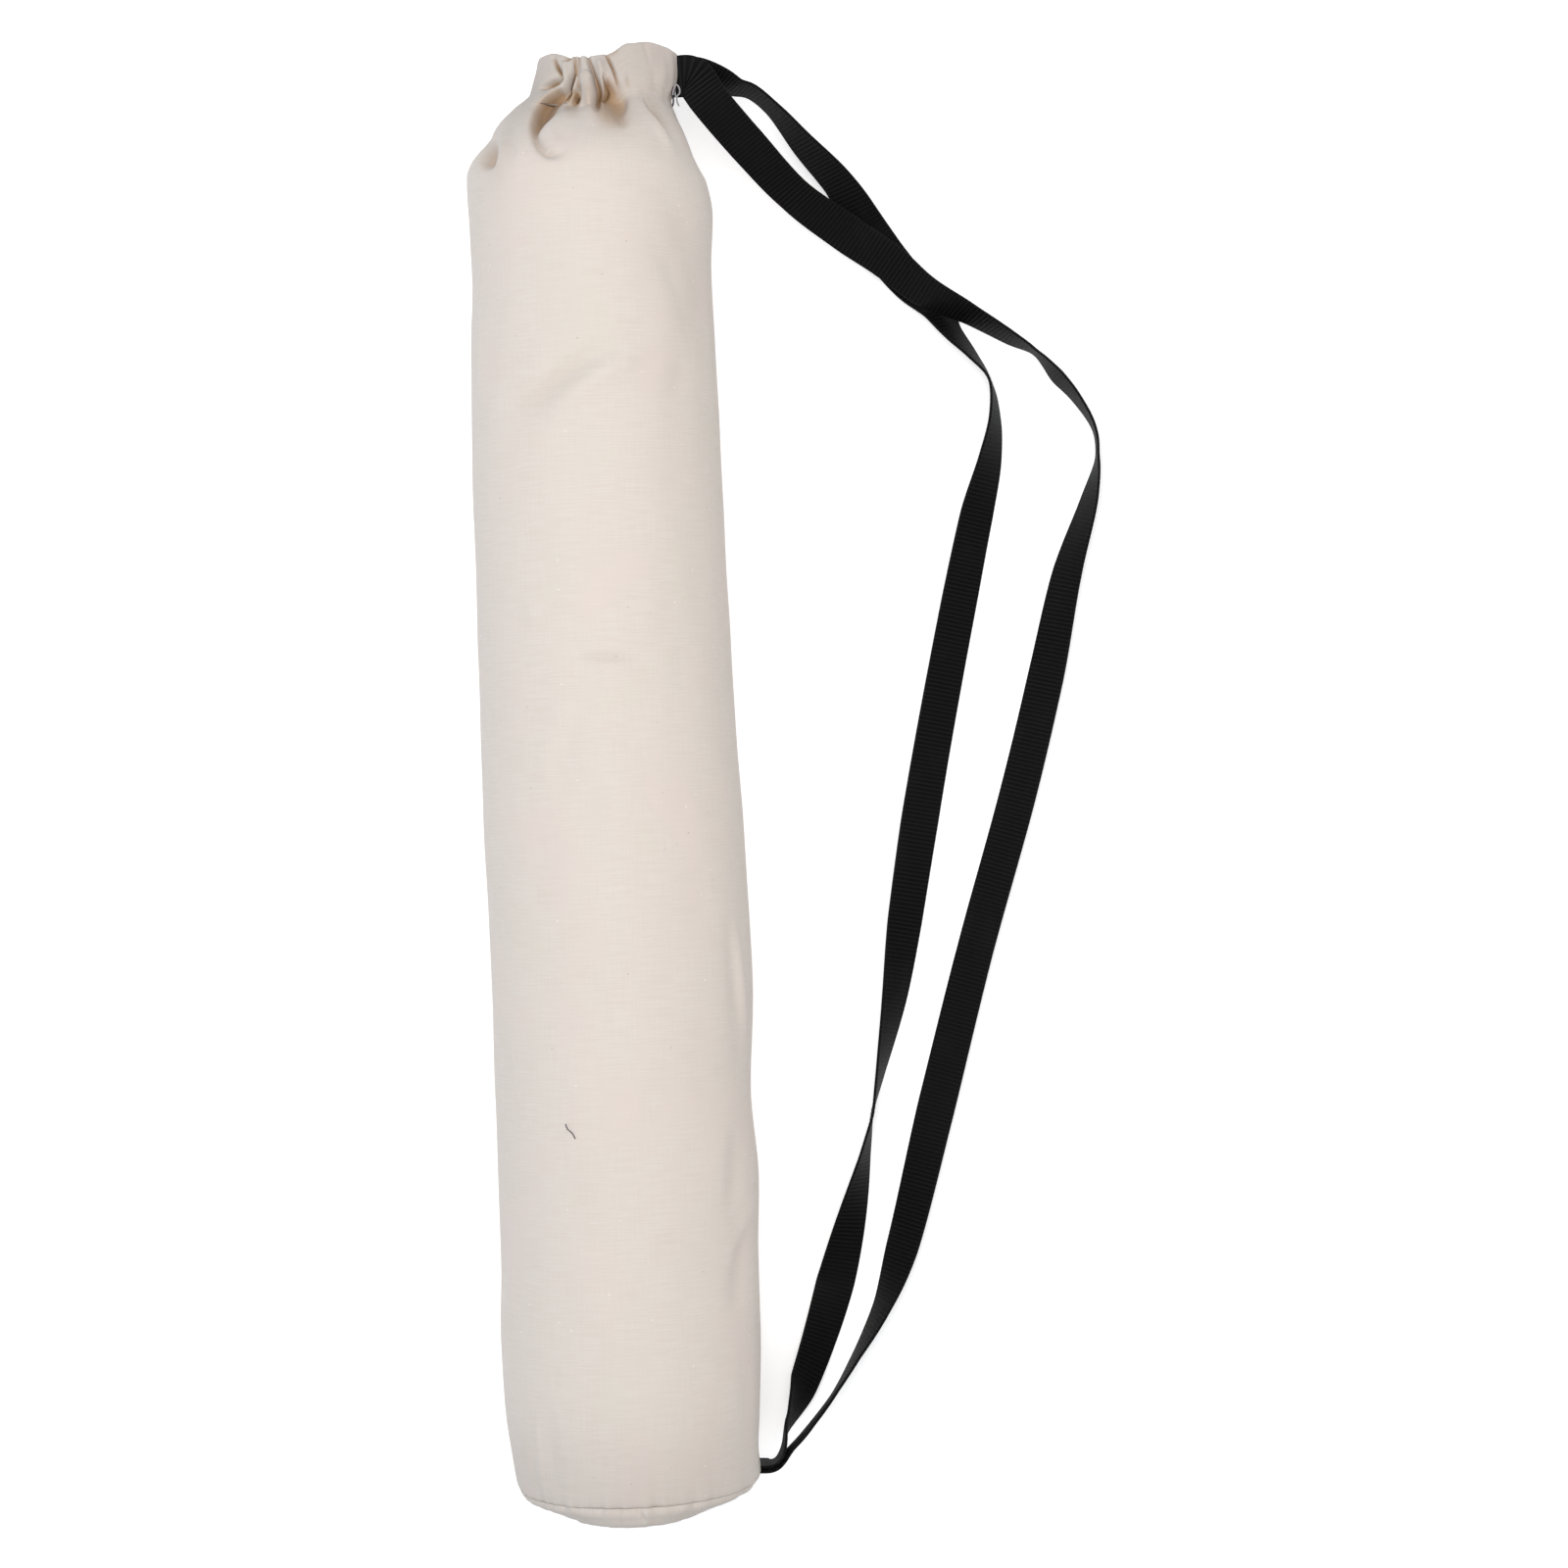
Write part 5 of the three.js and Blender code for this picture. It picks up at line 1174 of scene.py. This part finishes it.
dish_outer, outs = dish(0.0, BASE_STEPS)
col, row = seen(dish_outer)
upper = smooth_step(np.sin(angles), 0.0, 0.3)[None, :]
base_depth = crease_depth(BASE_CREASES, col, row) * upper
swell = BASE_SWELL * np.sin(np.clip(outs / BASE_SWELL_DEPTH, 0, 1) * math.pi)[:, None]
dish_outer = settle_on_floor(dish_outer - outward(dish_outer) * (base_depth - swell)[..., None])
dish_inner, _ = dish(CANVAS, BASE_INNER_STEPS)
dish_inner = settle_on_floor(dish_inner, CANVAS)
dish_shell = np.concatenate([dish_outer[::-1], dish_inner])
dish_uv = np.empty((len(dish_shell), BODY_COLUMNS + 1, 2))
wrapped = np.concatenate([dish_shell, dish_shell[:, :1]], 1)
dish_uv[..., 0] = wrapped[..., 0]
dish_uv[..., 1] = wrapped[..., 2]
base = grid_object("base_canvas", dish_shell, dish_uv, close_first=True, close_last=True)
cloth_attributes(base, np.zeros(1), painted_shading(dish_shell))
finish_piece(base, "canvas", CANVAS_CLOTH, "base_panel")


# ---------------------------------------------------------------- strap
STRAP_STEP = 0.34
STRAP_SMOOTHING = 5
STRAP_FINENESS = 40


def strap_exit():
    """Middle of the slot where the strap leaves the casing."""
    above_seam = SEAM_GAP + CANVAS + STRAP_CLEARANCE + STRAP_WIDTH / 2
    y = NECK_SEAM_Y + above_seam + float(neck_rise(np.array(0.0)))
    return NECK_SHIFT + NECK_HALF_WIDTH, y, NECK_HEIGHT


def strap_anchor():
    """Point on the base seam where both strands are sewn in."""
    reach_x = math.cos(ANCHOR_ANGLE) * BARREL_ROWS[0][2] * BARREL_RADIUS
    reach_z = math.sin(ANCHOR_ANGLE) * BARREL_ROWS[0][4] * BARREL_RADIUS
    reach = math.hypot(reach_x, reach_z)
    return (
        reach_x * (reach + CORNER_PULL) / reach,
        BASE_SEAM_Y + STRAP_CLEARANCE + STACK / 2,
        ANCHOR_HEIGHT,
    )


def lying_height(roll):
    """Height of the webbing's middle when its lower edge lies on the floor."""
    tilt = np.abs(roll) * DEGREE
    return STRAP_WIDTH / 2 * np.sin(tilt) + STRAP_THICKNESS / 2 * np.cos(tilt) + LYING_GAP


def centripetal(rows, fineness):
    """Points on the smooth line through the rows, with each one's place between them."""
    p = np.asarray(rows, float)
    p = np.vstack([2 * p[0] - p[1], p, 2 * p[-1] - p[-2]])
    out, at = [], []
    for i in range(1, len(p) - 2):
        a, b, c, d = p[i - 1], p[i], p[i + 1], p[i + 2]
        t0, t1, t2 = [max(np.sum((q - r) ** 2) ** 0.25, 1e-4) for q, r in ((b, a), (c, b), (d, c))]
        m1 = ((b - a) / t0 - (c - a) / (t0 + t1) + (c - b) / t1) * t1
        m2 = ((c - b) / t1 - (d - b) / (t1 + t2) + (d - c) / t2) * t1
        for t in np.arange(fineness) / fineness:
            out.append(
                (2 * t**3 - 3 * t**2 + 1) * b + (t**3 - 2 * t**2 + t) * m1
                + (3 * t**2 - 2 * t**3) * c + (t**3 - t**2) * m2
            )
            at.append(i - 1 + t)
    out.append(p[-2])
    at.append(len(p) - 3)
    return np.array(out), np.array(at)


def smoothed(values, steps, hold=0):
    """Running mean that keeps both ends where they are."""
    kernel = np.hanning(2 * steps + 3)[1:-1]
    kernel /= kernel.sum()
    pad = len(kernel) // 2
    first = 2 * values[0] - values[1 : pad + 1][::-1]
    last = 2 * values[-1] - values[-pad - 1 : -1][::-1]
    return np.convolve(np.concatenate([first, values, last]), kernel, mode="valid")


def strap_line(route, exit_stack, anchor_stack):
    """Places, width directions and normals along one strand at even steps."""
    ex, an = strap_exit(), strap_anchor()
    exit_lift = ex[2] + exit_stack - lying_height(0)
    anchor_lift = an[2] - lying_height(90)
    plan = [(ex[0] - CANVAS, ex[1], exit_lift), (ex[0] + STRAP_LEAD, ex[1], exit_lift)]
    rolls = [0.0, 0.0]
    for along, out, roll, lift in route:
        end = ex if along < 0.5 else an
        plan.append((
            ex[0] + (an[0] - ex[0]) * along + out * STRAP_REACH,
            ex[1] + (an[1] - ex[1]) * along,
            lift * end[2],
        ))
        rolls.append(roll)
    anchor_y = an[1] + anchor_stack
    plan.append((an[0] + STRAP_LEAD, anchor_y, anchor_lift))
    plan.append((an[0] - CANVAS - STRAP_TAIL, anchor_y, anchor_lift))
    rolls += [route[-1][2]] * 2
    line, at = centripetal(plan, STRAP_FINENESS)
    roll = np.interp(at, np.arange(len(rolls)), rolls)
    height = np.maximum(line[:, 2], 0) + lying_height(roll)
    place = np.column_stack([line[:, :2], height])
    travelled = np.concatenate([[0], np.cumsum(np.linalg.norm(np.diff(line, axis=0), axis=1))])
    count = int(travelled[-1] / STRAP_STEP) + 1
    even = np.linspace(0, travelled[-1], count)
    place = np.column_stack([np.interp(even, travelled, place[:, i]) for i in range(3)])
    roll = np.interp(even, travelled, roll)
    span = int(STRAP_SMOOTHING / STRAP_STEP)
    roll = smoothed(roll, span)
    place = np.column_stack([smoothed(place[:, i], span // 2) for i in range(3)])
    place[:, 2] = np.maximum(place[:, 2], lying_height(roll))
    forward = np.gradient(place, axis=0)
    forward = np.column_stack([smoothed(forward[:, i], span) for i in range(3)])
    forward /= np.linalg.norm(forward, axis=1, keepdims=True)
    side = np.cross(forward, [0, 0, 1])
    side /= np.linalg.norm(side, axis=1, keepdims=True)
    up = np.cross(side, forward)
    turn = roll[:, None] * DEGREE
    across = np.cos(turn) * side + np.sin(turn) * up
    normal = np.cos(turn) * up - np.sin(turn) * side
    return place, across, normal, even


RIB_RELIEF = 0.13
WEBBING_LOWEST = 0.02


def webbing_object(name, place, across, normal, travelled):
    """Flat webbing with rounded edges and ribs across it."""
    half_w, half_t = STRAP_WIDTH / 2, STRAP_THICKNESS / 2 - RIB_RELIEF / 2
    side_shares = np.array([1.0, 0.985, 0.93, 0.86, 0.6, 0.2, -0.2, -0.6, -0.86, -0.93, -0.985])
    face_shares = np.array([0.0, 0.62, 0.95, 0.86, 1, 1, 1, 1, 0.86, 0.95, 0.62])
    ribs = np.array([0, 0, 0, 0, 1, 1, 1, 1, 0, 0, 0], float)
    sides = np.concatenate([side_shares, -side_shares])
    faces = np.concatenate([face_shares, -face_shares])
    rib_on = np.concatenate([ribs, -ribs])
    wave = np.cos(2 * np.pi * travelled / RIB_PITCH)
    thick = faces[None, :] * half_t + rib_on[None, :] * wave[:, None] * RIB_RELIEF
    points = (
        place[:, None, :]
        + across[:, None, :] * (sides * half_w)[None, :, None]
        + normal[:, None, :] * thick[..., None]
    )
    points[..., 2] = np.maximum(points[..., 2], WEBBING_LOWEST)
    count = len(sides)
    uv = np.empty((len(points), count + 1, 2))
    uv[..., 0] = np.append(sides, sides[0])[None, :] * half_w
    uv[..., 1] = travelled[:, None]
    return grid_object(name, points, uv, close_first=True, close_last=True)


STACK_HALF = (STACK - STRAP_THICKNESS) / 2
outer_strand = webbing_object("strap_webbing_outer", *strap_line(OUTER_ROUTE, STACK_HALF, -STACK_HALF))
finish_piece(outer_strand, "webbing", WEBBING_CLOTH, "strap_outer_strand")
inner_strand = webbing_object("strap_webbing_inner", *strap_line(INNER_ROUTE, -STACK_HALF, STACK_HALF))
finish_piece(inner_strand, "webbing", WEBBING_CLOTH, "strap_inner_strand")


def bent(start, corner, end):
    """Points of a bend from start to end that starts and ends toward the corner."""
    return [
        tuple((1 - t) ** 2 * a + 2 * t * (1 - t) * b + t * t * c for a, b, c in zip(start, corner, end))
        for t in np.linspace(0, 1, BEND_STEPS)
    ]


BEND_STEPS = 12
RUN_STEPS = 220


def casing_run_line():
    """The webbing inside the casing, once round the mouth, with both ends turned out to the slot."""
    ex = strap_exit()
    start = math.asin((STACK_HALF + BEND_RADIUS) / OVAL_HIGH)
    end_x = ex[0] - CANVAS - SEAM_GAP
    upper_x = NECK_SHIFT + OVAL_WIDE * math.cos(start)
    upper_z = NECK_HEIGHT + OVAL_HIGH * math.sin(start)
    lower_z = 2 * NECK_HEIGHT - upper_z
    upper_run, lower_run = NECK_HEIGHT + STACK_HALF, NECK_HEIGHT - STACK_HALF
    oval = [oval_point(angle, 0) for angle in np.linspace(start, 2 * math.pi - start, RUN_STEPS)[1:-1]]
    flat = np.array(
        bent((end_x, upper_run), (upper_x, upper_run), (upper_x, upper_z))
        + oval
        + bent((upper_x, lower_z), (upper_x, lower_run), (end_x, lower_run))
    )
    angle = np.arctan2((flat[:, 1] - NECK_HEIGHT) / OVAL_HIGH, (flat[:, 0] - NECK_SHIFT) / OVAL_WIDE)
    y = ex[1] + neck_rise(angle) - neck_rise(np.array(0.0))
    place = np.column_stack([flat[:, 0], y, flat[:, 1]])
    forward = np.gradient(place, axis=0)
    forward[:, 1] = 0
    forward /= np.linalg.norm(forward, axis=1, keepdims=True)
    across = np.tile([0.0, 1.0, 0.0], (len(place), 1))
    normal = np.cross(forward, across)
    travelled = np.concatenate([[0], np.cumsum(np.linalg.norm(np.diff(place, axis=0), axis=1))])
    return place, across, normal, travelled


run = webbing_object("strap_webbing_in_casing", *casing_run_line())
finish_piece(run, "webbing", WEBBING_CLOTH, "strap_casing_run")


# ---------------------------------------------------------------- loose ends of thread
def thread_end(name, path, radius, material):
    """A short loose end of sewing thread along a path in millimetres."""
    line, _ = centripetal(path, THREAD_FINENESS)
    tangent = np.gradient(line, axis=0)
    tangent /= np.linalg.norm(tangent, axis=1, keepdims=True)
    sideways = np.cross(tangent, (0.0, 0.0, 1.0))
    sideways /= np.maximum(np.linalg.norm(sideways, axis=1, keepdims=True), 1e-6)
    upward = np.cross(sideways, tangent)
    turns = np.arange(THREAD_SIDES) * 2 * math.pi / THREAD_SIDES
    rings = line[:, None] + radius * (
        np.cos(turns)[None, :, None] * sideways[:, None] + np.sin(turns)[None, :, None] * upward[:, None]
    )
    uv = np.empty((len(rings), THREAD_SIDES + 1, 2))
    uv[..., 0] = np.arange(THREAD_SIDES + 1)[None, :] * radius
    uv[..., 1] = np.arange(len(rings))[:, None] * 0.5
    obj = grid_object(name, rings, uv, close_first=True, close_last=True)
    finish_piece(obj, "webbing", material)


THREAD_SIDES = 8
THREAD_FINENESS = 6
EXIT_TAIL = [
    (38.54, 323.17, 57), (39.26, 320.4, 57), (38.96, 317.64, 55), (39.4, 315.54, 54),
    (39.02, 313.48, 53), (37.9, 311.45, 53),
]
EXIT_CURL = [
    (39.22, 317.42, 56), (39.86, 320.38, 57), (41.26, 321.72, 58), (42.44, 320.08, 58),
    (42.43, 318.01, 57), (41.26, 316.89, 56), (41.06, 314.82, 55), (41.76, 312.92, 53),
]
STRAY_THREAD = [
    (-23.4, -154.81, 113.6), (-22.54, -156.95, 114.4), (-20.61, -158.76, 114.6), (-19.18, -161.47, 114.4),
]
thread_end("exit_thread_tail", EXIT_TAIL, 0.42, DARK_THREAD)
thread_end("exit_thread_curl", EXIT_CURL, 0.38, GREY_THREAD)
thread_end("stray_thread", STRAY_THREAD, 0.22, DARK_THREAD)


# ---------------------------------------------------------------- floor and light
FLOOR_ALBEDO = 0.80
FLOOR_GLOW = 0.42
FLOOR_HALF = 6.0


def floor_material():
    m = Nodes("pale_floor")
    m.set("Base Color", (FLOOR_ALBEDO, FLOOR_ALBEDO, FLOOR_ALBEDO, 1))
    m.set("Roughness", 0.9)
    m.set("Specular IOR Level", 0.1)
    m.set("Emission Color", (1, 1, 1, 1))
    m.set("Emission Strength", FLOOR_GLOW)
    return m.material


floor_mesh = bpy.data.meshes.new("floor")
floor_corners = [(x * FLOOR_HALF, y * FLOOR_HALF, 0) for x, y in ((-1, -1), (1, -1), (1, 1), (-1, 1))]
floor_mesh.from_pydata(floor_corners, [], [(0, 1, 2, 3)])
floor = bpy.data.objects.new("floor", floor_mesh)
scene.collection.objects.link(floor)
floor_mesh.materials.append(floor_material())


# Key light, in metres and watts
KEY_AT, KEY_TARGET = (-0.01, 0.17, 1.40), (0.0, 0.14, 0.05)
KEY_SIZE, KEY_WATTS = 0.9, 12.8
KEY_COLOUR = (1.0, 0.975, 0.945)
key_data = bpy.data.lights.new("key", "AREA")
key_data.shape = "DISK"
key_data.size = KEY_SIZE
key_data.energy = KEY_WATTS
key_data.color = KEY_COLOUR
key = bpy.data.objects.new("key", key_data)
key.location = KEY_AT
key.rotation_euler = (Vector(KEY_TARGET) - Vector(KEY_AT)).to_track_quat("-Z", "Y").to_euler()
scene.collection.objects.link(key)
# Sky: bright overhead, dimmer toward the horizon, most of all along the bag and a little to the
# right, and cooler to the left
SKY_TOP = 0.96
SKY_SIDE = 0.52
SKY_LEAN = -0.08
SKY_ENDS = -0.48
SKY_LEAST = 0.05
SKY_COLOUR = (0.980, 0.995, 1.020, 1)
SKY_LEFT_COLOUR = (0.84, 0.975, 1.13, 1)
world = bpy.data.worlds.new("studio")
scene.world = world
world.use_nodes = True
sky = world.node_tree
backdrop = sky.nodes["Background"]


def sky_math(operation, a, b, c=0.0):
    node = sky.nodes.new("ShaderNodeMath")
    node.operation = operation
    for i, value in enumerate((a, b, c)):
        if isinstance(value, bpy.types.NodeSocket):
            sky.links.new(value, node.inputs[i])
        else:
            node.inputs[i].default_value = value
    return node.outputs[0]


direction = sky.nodes.new("ShaderNodeTexCoord")
toward = sky.nodes.new("ShaderNodeSeparateXYZ")
sky.links.new(direction.outputs["Generated"], toward.inputs[0])
strength = sky_math("MULTIPLY_ADD", toward.outputs[2], SKY_TOP - SKY_SIDE, SKY_SIDE)
strength = sky_math("MULTIPLY_ADD", toward.outputs[0], SKY_LEAN, strength)
endward = sky_math("MULTIPLY", toward.outputs[1], toward.outputs[1])
strength = sky_math("MULTIPLY_ADD", endward, SKY_ENDS, strength)
strength = sky_math("MAXIMUM", strength, SKY_LEAST)
sky.links.new(strength, backdrop.inputs[1])
hue = sky.nodes.new("ShaderNodeMix")
hue.data_type = "RGBA"
leftward = sky_math("MULTIPLY", toward.outputs[0], -1.0)
sky.links.new(sky_math("MAXIMUM", leftward, 0.0), hue.inputs["Factor"])
hue.inputs[6].default_value = SKY_COLOUR
hue.inputs[7].default_value = SKY_LEFT_COLOUR
sky.links.new(hue.outputs[2], backdrop.inputs[0])
scene.view_settings.view_transform = "Standard"
